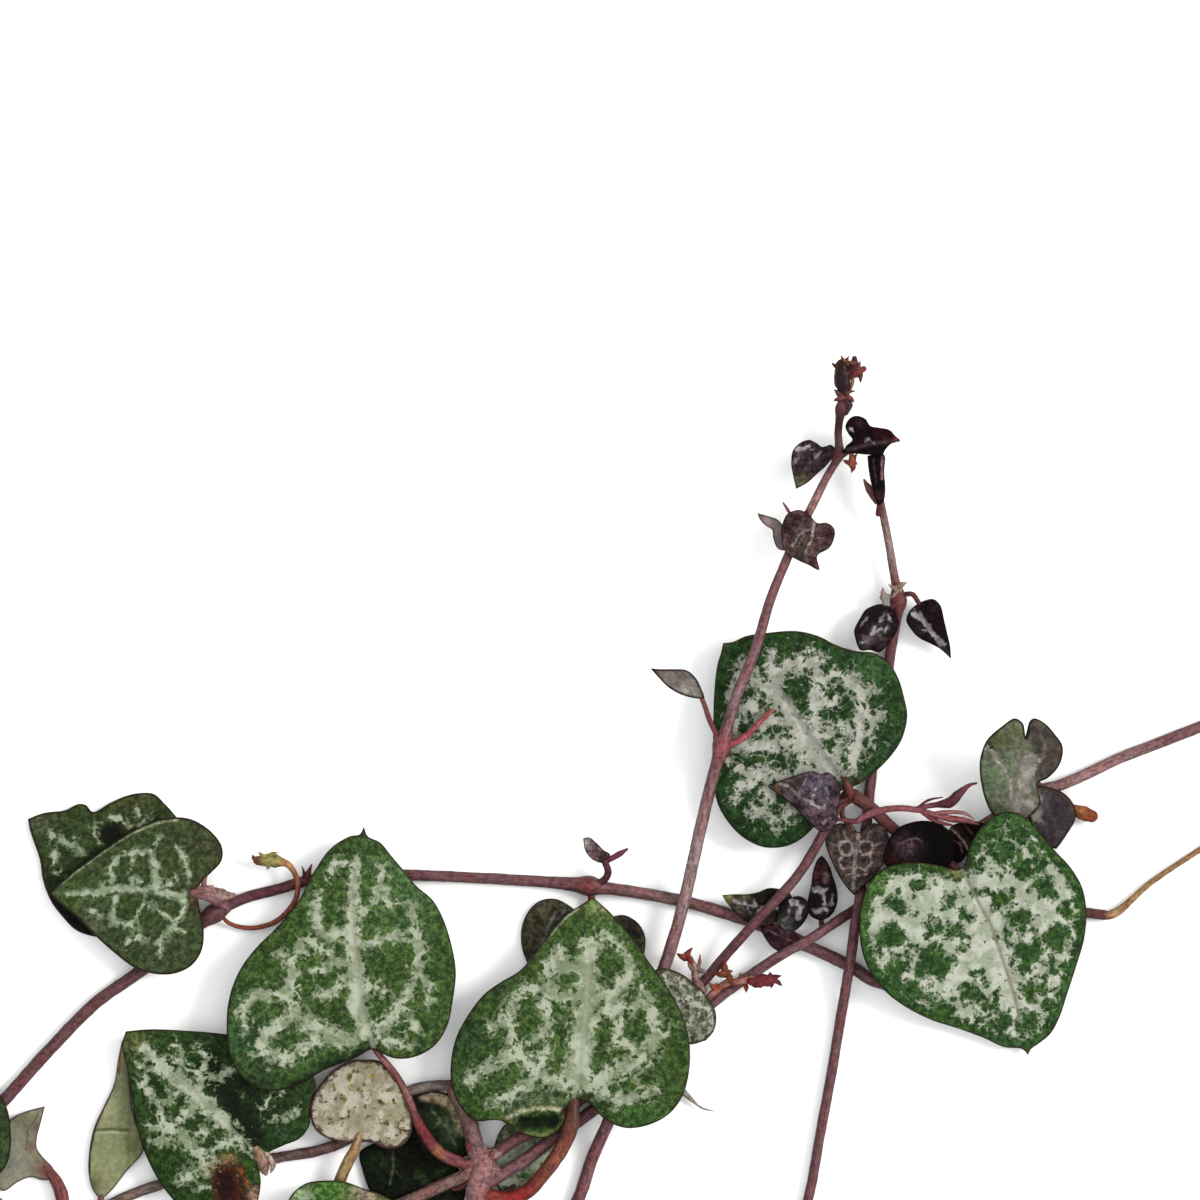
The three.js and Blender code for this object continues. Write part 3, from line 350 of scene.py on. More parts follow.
stem("runner_long", [(50.9, 126.4, 1.15), (54.4, 124.8, 0.8), (56.3, 122.6, 0.65), (57.8, 120, 0.65),
     (59.3, 115.6, 0.75), (60.8, 112.2, 2), (61.8, 109.6, 2.2), (63.2, 105.5, 2.15), (64.8, 100.5, 2.1),
     (66.5, 96.5, 2.1), (68.3, 90.5, 2.2), (70, 83, 3.4), (71.2, 78, 4.2), (72.2, 74.5, 4.5),
     (73.5, 70, 4.6), (75.5, 65, 4.5), (77, 60, 3.8), (78.2, 57, 3.1), (79.5, 54, 2.7), (81, 51, 2.6),
     (82.5, 48, 2.8), (83.8, 45.5, 2.9), (83.8, 43, 2.9), (84.1, 41, 3), (84.4, 39.9, 3)],
     [0.66, 0.64, 0.62, 0.62, 0.62, 0.62, 0.62, 0.6, 0.54, 0.5, 0.46, 0.4, 0.38],
     swell=[(72.2, 74.4, 0.4, 1.1), (83.8, 45.6, 0.2, 0.7), (84.3, 40.8, 0.28, 0.7)],
     tints=[(69, 87, 7, "#B09694"), (73.8, 69, 4, "#9A767A"), (72.2, 74.6, 1.5, "#A25A60"),
            (81.6, 50, 1.8, "#B89A94"), (83.7, 45.4, 1.2, "#54262C"), (84.1, 42.4, 2.4, "#42161C")])
stem("runner_outer_right", [(48.8, 118.2, 1.8), (52.3, 116.1, 1.8), (55.4, 113.8, 1.7), (58.8, 111.4, 0.9),
     (61.5, 109.3, 0.62), (65.5, 105.8, 0.62), (71.2, 100.3, 0.62), (75.5, 97.2, 0.9), (78.4, 95.3, 2),
     (80.8, 94, 2.4), (83.4, 92.3, 1.5), (85.7, 90.8, 0.72), (90, 88, 0.66), (95, 84.8, 0.62),
     (100, 81.4, 0.62), (104.6, 79.1, 0.86), (108, 77.7, 0.66), (112, 75.8, 0.62), (116, 74.25, 0.62),
     (121, 72.3, 0.62)], [0.68, 0.6, 0.53, 0.5, 0.56, 0.56], light="#8A6064",
     swell=[(104.4, 79.1, 0.3, 0.9)], tints=[(85, 91, 2, "#5A3438"), (110, 76.8, 5, "#B08C88")])
stem("runner_inner_right", [(48.6, 115.9, 1.8), (51.5, 114, 1.8), (54.5, 112.3, 1.7), (57.5, 110.4, 0.9),
     (60.2, 108.2, 0.68), (65, 103.3, 0.64), (70, 98.5, 0.74), (73, 95, 1.8), (75.7, 92, 3.1),
     (78.5, 89, 3.2), (80, 87.2, 2.95), (82.2, 83.5, 2.6), (83.4, 81.2, 2.4), (84.9, 79.5, 2.15)],
     [0.66, 0.56, 0.5, 0.5, 0.5], light="#7A5054", swell=[(84.9, 79.6, 0.3, 0.8)],
     tints=[(84.6, 79.4, 1.6, "#8A4A42")])
stem("runner_right_foot",
     [(51, 127.2, 1.15), (57, 128.7, 0.7), (64, 128.8, 0.64), (71, 128, 0.64), (76.4, 126.5, 0.82)],
     [0.66, 0.62], swell=[(76.6, 126.4, 0.2, 0.8)])
stem("runner_right", [(76.2, 126.5, 0.82), (79.6, 123.4, 0.62), (80.9, 119.5, 0.62), (82, 113.5, 0.62),
     (83.2, 107, 0.62), (84.1, 101.5, 0.8), (85, 96.2, 2.25), (85.5, 92.5, 2.35), (85.9, 90.3, 2.3),
     (86.2, 87, 1.15), (86.7, 82, 0.7), (87.2, 77, 0.64), (88.2, 71, 0.62), (89, 65.5, 0.7),
     (89.8, 60.2, 1.2), (89.4, 57.5, 1.4), (88.8, 54, 1.7), (88.2, 51, 2), (87.8, 49, 2.1),
     (87.4, 47, 2.2)], [0.54, 0.5, 0.5, 0.52, 0.54, 0.54, 0.56, 0.42, 0.36], light="#7C5256",
     dark="#2E1A1D", swell=[(76.8, 126.2, 0.3, 0.8), (89.8, 60, 0.44, 1.0)],
     tints=[(89.8, 59.9, 1.5, "#7A3C34"), (88.8, 54.5, 3, "#A98A86"), (87.6, 48.5, 1.6, "#3E1C20")])

# The five full-grown leaves: thick, waxy hearts on red stalks, green with a net of grey-green along
# the veins, a plain green border and a thin dark rim. They lie face up, the rims curved down.
THICK_LEAF = 1.1
GREEN = "#46602F"
RIM_CURL_WIDTH = 1.3
WAVE_HEIGHT = 0.12
WAVE_SIZE = 4.5
THINNING_WIDTH = 3
CREASE_WIDTH = 0.35
CREASE_FADE = 1.5
WANDER_SIZE = 1.3
QUILT_SIZE = 1.1
QUILT_FADE = 1.2
MARBLE_LIMIT = 1.5


def reach(points, line):
    """Distance of each point from a line, and the share of the line at which its nearest place lies."""
    nearest = np.full(len(points), 1e9)
    share = np.zeros(len(points))
    for k, (start, end) in enumerate(zip(line[:-1], line[1:])):
        way = end - start
        part = np.clip((points - start) @ way / max(way @ way, 1e-9), 0, 1)
        gap = np.hypot(*(points - start - part[:, None] * way).T)
        closer = gap < nearest
        nearest = np.where(closer, gap, nearest)
        share = np.where(closer, (k + part) / (len(line) - 1), share)
    return nearest, share


def blade(outline, base, tip, thick, rise=(0, 0), droop=0.2, dents=(), rib=None, groove=0.12, fine=0.2,
          heart=None, color=GREEN, under="#7F8468", tints=(), strokes=(), veins=(), islands=(),
          net=-MARBLE_LIMIT, border=1.2, relief=0.06, rib_width=0.5, wander=0.3, skin=0):
    """A leaf blade. Each vein is (width, line), each island (x, y, radius), each dent (x, y, size, depth)
    and each stroke of colour (size, colour, line)."""
    rim = smooth_path(np.vstack([flat(outline), flat(outline[:1])]), fine)[0][:-1]
    if np.sum(rim[:, 0] * np.roll(rim[:, 1], -1) - rim[:, 1] * np.roll(rim[:, 0], -1)) < 0:
        rim = rim[::-1]
    heart = rim.mean(0) if heart is None else flat([heart])[0]
    count = len(rim)
    rings = int(np.hypot(*(rim - heart).T).max() / fine) + 4
    shares = 1 - (1 - np.arange(rings + 1) / rings) ** 1.5
    plan = (heart + shares[1:, None, None] * (rim - heart)).reshape(-1, 2)
    plan = np.vstack([heart[None], plan])
    inward = reach(plan, np.vstack([rim, rim[:1]]))[0]
    inward[-count:] = 0

    foot, end = flat([base])[0], flat([tip])[0]
    length = np.hypot(*(end - foot))
    along = (end - foot) / length

    def beside(points):
        return along[0] * (points[:, 1] - foot[1]) - along[1] * (points[:, 0] - foot[0])

    widths = max(0.1, beside(rim).max()), max(0.1, -beside(rim).min())
    share = np.clip((plan - foot) @ along / length, -0.15, 1)
    aside = beside(plan)
    lift = np.where(aside > 0, rise[0] * (aside / widths[0]) ** 2, rise[1] * (aside / widths[1]) ** 2)
    height = base[2] + (tip[2] - base[2]) * share + lift - droop * np.exp(-inward / RIM_CURL_WIDTH)
    height += WAVE_HEIGHT * rough(np.column_stack([plan, height]), WAVE_SIZE) * min(1, thick)
    for x, y, size, depth in dents:
        height -= depth * np.exp(-(np.hypot(*(plan - flat([(x, y)])).T) / size) ** 2)
    half = thick / 2 * (0.5 + 0.5 * np.minimum(inward / THINNING_WIDTH, 1))
    roundness = thick * 0.4
    half *= np.sqrt(np.clip(1 - (1 - np.minimum(inward / roundness, 1)) ** 2, 0, 1))
    crease = np.full(len(plan), 9.0) if rib is None else reach(plan, flat(rib))[0]
    crease_depth = groove * np.exp(-(crease / CREASE_WIDTH) ** 2) * np.minimum(inward / CREASE_FADE, 1)

    marble = np.full(len(plan), float(net))
    spots = np.column_stack([plan, plan[:, :1]])
    bent = plan + wander * np.column_stack([rough(spots, WANDER_SIZE, shift) for shift in (3, 8)])
    for width, line in veins:
        gap, part = reach(bent, flat(line))
        marble = np.maximum(marble, width / 2 * (1 - 0.35 * part) - gap)
    for x, y, size in islands:
        marble = np.minimum(marble, np.hypot(*(bent - flat([(x, y)])).T) - size)
    marble = np.clip(np.minimum(marble, (inward - border) * 1.3), -MARBLE_LIMIT, MARBLE_LIMIT)
    quilt = relief * (rough(spots, QUILT_SIZE) - 0.7 * np.clip(marble, -0.6, 0.6))
    quilt *= np.minimum(inward / QUILT_FADE, 1)
    top = np.column_stack([plan, height + half - crease_depth + quilt])

    kept_rings = [1 + ring * count + np.arange(count) for ring in range(rings - 2, 0, -3)]
    kept = np.concatenate([[0]] + kept_rings[::-1])
    bottom = np.column_stack([plan[kept], (height - half - 1.4 * crease_depth)[kept]])
    offset = len(top)

    def ring_of(start, ring):
        return start + 1 + ring * count + np.arange(count)

    faces = []

    def close(inner, outer, flip):
        quads = np.stack([inner, outer, np.roll(outer, -1), np.roll(inner, -1)], -1)
        faces.extend((quads[:, ::-1] if flip else quads).tolist())

    for start, amount, flip in ((0, rings, False), (offset, (len(kept) - 1) // count, True)):
        first = ring_of(start, 0)
        fan = np.stack([np.full(count, start), first, np.roll(first, -1)], -1)
        faces.extend((fan[:, ::-1] if flip else fan).tolist())
        for ring in range(amount - 1):
            close(ring_of(start, ring), ring_of(start, ring + 1), flip)
    close(ring_of(offset, (len(kept) - 1) // count - 1), ring_of(0, rings - 1), True)

    face = painted(plan, tone(color), tints)
    for size, code, line in strokes:
        weight = np.exp(-(reach(plan, flat(line))[0] / size) ** 4)[:, None]
        face = face * (1 - weight) + np.array(tone(code)) * weight
    ground = np.vstack([face, painted(plan[kept], tone(under), ())])
    face_marks = np.column_stack([marble, inward, np.clip(1 - crease / rib_width, 0, 1)])
    back_marks = np.column_stack([np.full(len(kept), -MARBLE_LIMIT), np.maximum(inward[kept], 0.6),
                                  np.zeros(len(kept))])
    return dict(points=np.vstack([top, bottom]), faces=faces, ground=ground,
                marks=np.vstack([face_marks, back_marks]), skin=skin)


def leaf_material(name, marble, marble_light, rim, rib, dark, bright, lace=1.0, jag=1.0, roughness=0.5,
                  rim_width=0.16, cell=1.8, crease=0.5, gloss=0.06, soft=1.0, cast=0.55):
    """Skin of a leaf. The mesh carries its ground colour and how deep each point lies in the marbling;
    two nets of fine side veins and a ragged noise feather the marbling, and specks mottle the green."""
    material, tree, shader = new_material(name)
    ground = tree.nodes.new("ShaderNodeAttribute")
    ground.attribute_name = "ground"
    attribute = tree.nodes.new("ShaderNodeAttribute")
    attribute.attribute_name = "marks"
    marks = tree.nodes.new("ShaderNodeSeparateXYZ")
    tree.links.new(attribute.outputs["Vector"], marks.inputs["Vector"])
    place = tree.nodes.new("ShaderNodeTexCoord").outputs["Object"]
    ragged = noise_node(tree, place, 1500, 5, 0.6)
    mottling = noise_node(tree, place, 1700, 6, 0.8)
    patches = noise_node(tree, place, 620, 3)

    bend = tree.nodes.new("ShaderNodeTexNoise")
    bend.inputs["Scale"].default_value = 900
    tree.links.new(place, bend.inputs["Vector"])
    bent = tree.nodes.new("ShaderNodeVectorMath")
    bent.operation = "MULTIPLY_ADD"
    tree.links.new(bend.outputs["Color"], bent.inputs[0])
    bent.inputs[1].default_value = (0.0014, 0.0014, 0.0014)
    tree.links.new(place, bent.inputs[2])

    def side_veins(size, width):
        cells = tree.nodes.new("ShaderNodeTexVoronoi")
        cells.feature = "DISTANCE_TO_EDGE"
        cells.inputs["Scale"].default_value = MM_PER_METRE / size
        tree.links.new(bent.outputs["Vector"], cells.inputs["Vector"])
        return spread(tree, cells.outputs["Distance"], 0, width, 1, 0)

    def weighed(value, weight, added):
        node = tree.nodes.new("ShaderNodeMath")
        node.operation = "MULTIPLY_ADD"
        tree.links.new(value, node.inputs[0])
        node.inputs[1].default_value = weight
        tree.links.new(added, node.inputs[2])
        return node.outputs["Value"]

    deep = weighed(ragged, 3 * jag, marks.outputs["X"])
    laced = weighed(side_veins(cell, 0.16), 0.6 * lace, deep)
    laced = weighed(side_veins(cell * 0.42, 0.24), 0.45 * lace, laced)
    level = 1.5 * jag + 0.05
    darker = blend(tree, 1.0, ground.outputs["Color"], dark, "MULTIPLY")
    brighter = blend(tree, 1.0, ground.outputs["Color"], bright, "MULTIPLY")
    colour = blend(tree, spread(tree, mottling, 0.44, 0.53), darker, ground.outputs["Color"])
    colour = blend(tree, spread(tree, mottling, 0.515, 0.59), colour, brighter)
    yellower = blend(tree, 1.0, colour, (1.3, 1.2, 0.9), "MULTIPLY")
    bluer = blend(tree, 1.0, colour, (0.62, 0.78, 0.82), "MULTIPLY")
    colour = blend(tree, spread(tree, patches, 0.5, 0.6, 0, cast), colour, yellower)
    colour = blend(tree, spread(tree, patches, 0.5, 0.4, 0, cast), colour, bluer)
    pale = blend(tree, spread(tree, patches, 0.42, 0.58), tone(marble), tone(marble_light))
    pale = blend(tree, spread(tree, mottling, 0.5, 0.6, 0, 0.5), pale, tone(marble_light))
    pale = blend(tree, spread(tree, mottling, 0.45, 0.38, 0, 0.5), pale, tone(marble, 0.36))
    feather = blend(tree, 0.55, colour, tone(marble))
    colour = blend(tree, spread(tree, laced, level - 0.15 * soft, level + 0.15 * soft, 0, 0.9), colour,
                   feather)
    colour = blend(tree, spread(tree, laced, level + 0.3, level + 0.55, 0, 0.8), colour, pale)
    colour = blend(tree, spread(tree, deep, level - 0.12 * soft, level + 0.14 * soft), colour, pale)
    colour = blend(tree, spread(tree, marks.outputs["Z"], 0.3, 0.75, 0, crease), colour, tone(rib))
    rimmed = spread(tree, weighed(ragged, 0.25, marks.outputs["Y"]), rim_width + 0.08, rim_width + 0.24,
                    0.92, 0)
    colour = blend(tree, rimmed, colour, tone(rim))
    tree.links.new(colour, shader.inputs["Base Color"])
    tree.links.new(spread(tree, mottling, 0.4, 0.6, roughness - 0.1, roughness + 0.15),
                   shader.inputs["Roughness"])
    shader.inputs["Specular IOR Level"].default_value = gloss
    bumped(tree, shader, mottling, 0.00014)
    return material


marbled_skin = leaf_material("marbled_leaf_skin", "#929E7C", "#CBD2B8", "#2A1712", "#B8B6A0",
                             (0.38, 0.42, 0.34), (1.75, 1.65, 1.6), rim_width=0.1, crease=0.45, soft=0.5,
                             cast=0.35)
silver_skin = leaf_material("silver_marbled_leaf_skin", "#B3BAA0", "#D9DDCA", "#2A1712", "#948A78",
                            (0.38, 0.42, 0.34), (1.75, 1.65, 1.6), lace=0.75, rim_width=0.1, cell=1.3,
                            crease=0.75, soft=0.5)
speckled_skin = leaf_material("speckled_leaf_skin", "#A9AB9A", "#D2D2C4", "#2A1712", "#A0A094",
                              (0.38, 0.42, 0.34), (1.75, 1.65, 1.5), jag=1.15, rim_width=0.1, cell=1.2,
                              crease=0.7, soft=0.6, cast=0.4)


def leaf(node, slot, skin, stalk=None, stalk_radius=(0.5, 0.5), stalk_light=RED_STALK, stalk_dark=DEEP_RED,
         stalk_tints=(), extra=(), **details):
    sheets = [blade(**details), *extra]
    if stalk:
        sheets.append(tube(stalk, stalk_radius, stalk_light, stalk_dark, tints=stalk_tints, skin=1))
    grow(node, sheets, [skin, red_skin])


leaf("leaf_left_large", "leaf_green", marbled_skin, base=(37.4, 104.4, 3.9), tip=(36.4, 82.6, 2.7),
     rise=(0.2, 0.4), thick=THICK_LEAF, heart=(34.6, 97.5),
     outline=[(36.4, 82.6), (36.8, 83.6), (38, 84.2), (39.2, 85.6), (40.2, 86.8), (41.7, 88.6), (43.3, 90),
              (44.4, 92), (45.2, 94.6), (45.6, 97.2), (45.3, 100), (44.8, 102.4), (43.6, 104.4),
              (41.6, 105.6), (39.6, 105.8), (38, 105.2), (37.2, 104.9), (35.5, 105.8), (32.6, 106.9),
              (30.5, 108.1), (28.4, 108.9), (26, 108.8), (24.2, 107.6), (23, 105.4), (22.7, 102.4),
              (23, 99.6), (24, 97), (25.6, 94.8), (27.8, 92.6), (29.9, 90), (31.4, 87.2), (33, 84.9),
              (35, 83.6), (36, 83.4)],
     rib=[(37.4, 104.6), (36.2, 101), (35.8, 97), (35.4, 93), (35, 89.6), (35.6, 86)],
     veins=[(1.6, [(37, 104.6), (36, 101.4), (35.5, 97.5), (35.3, 94.3), (35.2, 90.8)]),
            (0.55, [(35.2, 90.6), (35.5, 88.4), (35.7, 86.2)]),
            (1.0, [(37, 104.6), (34, 103.6), (31.8, 102.6), (29.8, 101.6), (29.2, 99.2), (29.3, 96.4),
                   (30.4, 94.2)]), (0.9, [(34.8, 93.4), (32.4, 93.4)]),
            (0.45, [(32.3, 93.2), (31.5, 91.4), (31.4, 89.2)]), (0.6, [(29.4, 96), (28.2, 95.5)]),
            (0.7, [(29.2, 99.2), (27.2, 99.3), (25.6, 99.5), (24.4, 100.6), (24.6, 102.4)]),
            (0.8, [(29.8, 101.6), (28, 102.4), (26.5, 103.2), (26.1, 104.8), (27.3, 105.7), (29.2, 105.6),
                   (31.2, 104.2), (33.6, 103.4)]), (0.6, [(30.8, 94), (32.4, 95), (34.6, 96.4)]),
            (0.5, [(31.8, 99.3), (33, 99.4), (34.8, 97.6)]),
            (0.5, [(33.2, 87.6), (33, 86.4), (34.4, 86.2)]), (0.5, [(32, 97.2), (33.8, 96.2)]),
            (0.8, [(37.2, 104), (39, 101.8), (40.8, 99.4), (41.8, 97), (42, 94.8), (41.5, 92.8),
                   (39.6, 93.6), (36.4, 94.6)]), (0.5, [(41.4, 92.6), (41.2, 90.6)]),
            (0.6, [(38.2, 86.8), (38.3, 88.6), (37.9, 89.8), (36, 91)]), (0.5, [(39.4, 90), (37.9, 89.8)]),
            (0.5, [(41.8, 97.4), (43, 98.8), (43, 100)]), (0.5, [(40.4, 99.8), (40.7, 102), (42.2, 102.8)]),
            (0.5, [(37, 98.4), (38.8, 99.4)]), (0.5, [(38, 104.4), (39.6, 104.1), (41, 104.2)])],
     tints=[(24.5, 104, 3, "#3F5F38"), (36.4, 83, 0.5, "#7A5446"), (40, 89, 4, "#547344"),
            (26.6, 108, 2, "#2E4426")],
     # Painted shade: the two dark strokes along the lower edge of the left lobe, where it curls under, with
     # the marbling held off there.
     islands=[(35.4, 104.9, 0.6), (33.8, 105.6, 0.7), (31.9, 106.6, 0.8), (29.6, 107.6, 0.8)],
     strokes=[(1.1, "#28401E", [(37, 105.4), (34.2, 106.2), (31.4, 107.6), (29, 108.9)]),
              (0.55, "#131D0D", [(37.4, 105), (34.4, 106.4), (31.6, 107.8), (29.8, 108.7)])],
     dents=[(32.4, 106.4, 1.1, 0.4), (35.4, 105.2, 0.8, 0.3)],
     stalk=[(37.2, 104, 2.9), (37.9, 105.4, 2.7), (39.1, 106.8, 2.3), (40.3, 108.6, 1.9),
            (41.1, 110.4, 1.7), (41.8, 112.2, 1.9), (42.8, 113.9, 2.1), (44.1, 115.3, 2.2),
            (45.7, 116.1, 2.1), (47.2, 116.5, 1.9)],
     stalk_radius=(0.36, 0.34, 0.36, 0.42, 0.6, 0.64, 0.62),
     stalk_light="#8E5054",
     # Two of the stalk's tints are painted highlights: the orange one near the joint and the pink one where
     # the stalk leaves the blade.
     stalk_tints=[(43.8, 115.2, 0.6, "#C98A52"), (38.4, 106, 1, "#B8807A"), (42.6, 113.6, 1.3, "#8A2E36"),
                  (40.6, 109.4, 1, "#A87468")])

leaf("leaf_lower_left", "leaf_green", marbled_skin, base=(25.6, 115.2, 2.5), tip=(12.6, 103.1, 2.1),
     thick=THICK_LEAF, heart=(21.5, 112), net=-1.25, color="#2F4A1E", rib_width=0.25,
     outline=[(12.6, 103.1), (15, 102.9), (18, 103), (22.6, 103.4), (26, 104.2), (29.4, 105.8),
              (31.2, 107.2), (31.6, 108.6), (31, 110.4), (31, 112.4), (30, 113.8), (28.4, 114.5),
              (26.8, 115.3), (26, 116.4), (26.1, 118.4), (25.4, 121), (23.4, 122.6), (20.6, 122.2),
              (18, 120.6), (15.9, 118), (14.5, 115.2), (13.7, 112.6), (13.2, 109.6), (12.7, 106.6),
              (12.2, 104.6)],
     rib=[(25.5, 115), (21.6, 111.2), (19.4, 109), (16.6, 106.6), (15, 105.4)],
     veins=[(1.5, [(19.8, 109.6), (18, 108.1), (16.1, 106.5), (14.7, 104.8)]),
            (0.1, [(25.3, 115.1), (24, 114), (22.8, 112.7)]),
            (1.4, [(19.2, 109.2), (21.6, 111.4), (23, 112.9)]),
            (0.35, [(19.8, 108.8), (20, 107.4), (18.3, 106.3), (17.6, 104.6)]),
            (0.3, [(20, 107.4), (20.6, 105.9), (20, 104.9)]),
            (0.3, [(20, 108.1), (22, 107.4), (23.1, 107)]), (0.35, [(16.5, 107), (17.6, 105.8)]),
            (0.7, [(20.5, 116.5), (19.4, 114.7), (18, 113.6), (16.5, 112.1), (16.1, 110.7), (14.7, 108.8),
                   (13.8, 107.4)]), (0.7, [(21.4, 116), (19.4, 114.7)]),
            (0.4, [(18.4, 108.6), (16.1, 110.7)]), (0.45, [(22, 112.1), (20.5, 113.2), (18.3, 113.6)]),
            (0.5, [(19.3, 110.2), (18.6, 111.4), (17.2, 112.5)]), (0.45, [(16.8, 112.8), (14.7, 112.5)]),
            (0.45, [(17.6, 113.8), (15.6, 114)]), (0.55, [(19.8, 115.4), (19.4, 116.5), (18.3, 118)]),
            (0.4, [(20.6, 117.2), (19.8, 118.9)]), (0.4, [(14.8, 105.6), (14.2, 106.6)]),
            (0.5, [(23, 114.2), (21.2, 115.2)]), (-0.3, [(26.1, 110.9), (26.9, 109.8), (28, 109.3)]),
            (-0.3, [(27.3, 112.2), (28.6, 111.8), (29.8, 111)])],
     # Painted shade: the nearly black strokes in the groove right of the midrib, and the dark tints beside
     # the big leaf's edge at the top and at the right, where that leaf lies over this one.
     tints=[(13.4, 104.2, 1.4, "#6A7040"), (28.6, 109.6, 2, "#26381A"), (14.2, 110, 1.4, "#2E4A22"),
            (21.5, 105, 1.4, "#22351A"), (28, 113.2, 1.2, "#30462A")],
     strokes=[(1.3, "#111B0B", [(20.7, 106.6), (22.6, 109.2), (24.4, 111.8), (25.6, 113.8)]),
              (0.6, "#1B2812", [(23.4, 107.6), (25, 109), (26.4, 111.4)]),
              (0.6, "#93805A", [(20.9, 117.2), (21.4, 116.3), (23.2, 115.9)]),
              (0.9, "#9A7A6C", [(25.5, 119.4), (25.3, 121.8)]),
              (1.75, "#481A10", [(22.7, 117.7), (23.3, 120)]),
              (0.9, "#2A0D0A", [(22.4, 117.8), (22.7, 119.6)]),
              (0.3, "#6A3A20", [(24, 116.8), (24.7, 118.4)])],
     islands=[(22.9, 118, 2.2), (23.8, 120.4, 2.2), (21.7, 107.9, 0.5), (23, 109.4, 0.6),
              (24.3, 111.2, 0.7), (25.5, 113, 0.6), (28.4, 113.4, 0.8), (29.7, 109.3, 0.9),
              (27, 108.4, 0.8), (27.9, 110.7, 0.8), (18.9, 106.7, 0.4), (16.9, 109.2, 0.4),
              (18.1, 110.6, 0.45), (20, 111.9, 0.5), (17.9, 112.2, 0.35)],
     extra=[tube([(25.4, 114.8, 2.3), (26, 115.4, 2.4), (26.4, 116.4, 2), (26.6, 117.3, 1.5)],
                 [0.45, 0.72, 0.66, 0.26], "#AE9078", "#5A4634", step=0.15, wobble=0.55, skin=1),
            tube([(26.3, 115, 2.4), (27, 115.7, 2.4), (27.3, 116.5, 2.1), (27.1, 117.2, 1.8)],
                 [0.2, 0.34, 0.3, 0.1], "#D6C4B2", "#8A7462", step=0.15, wobble=0.6, skin=1)])

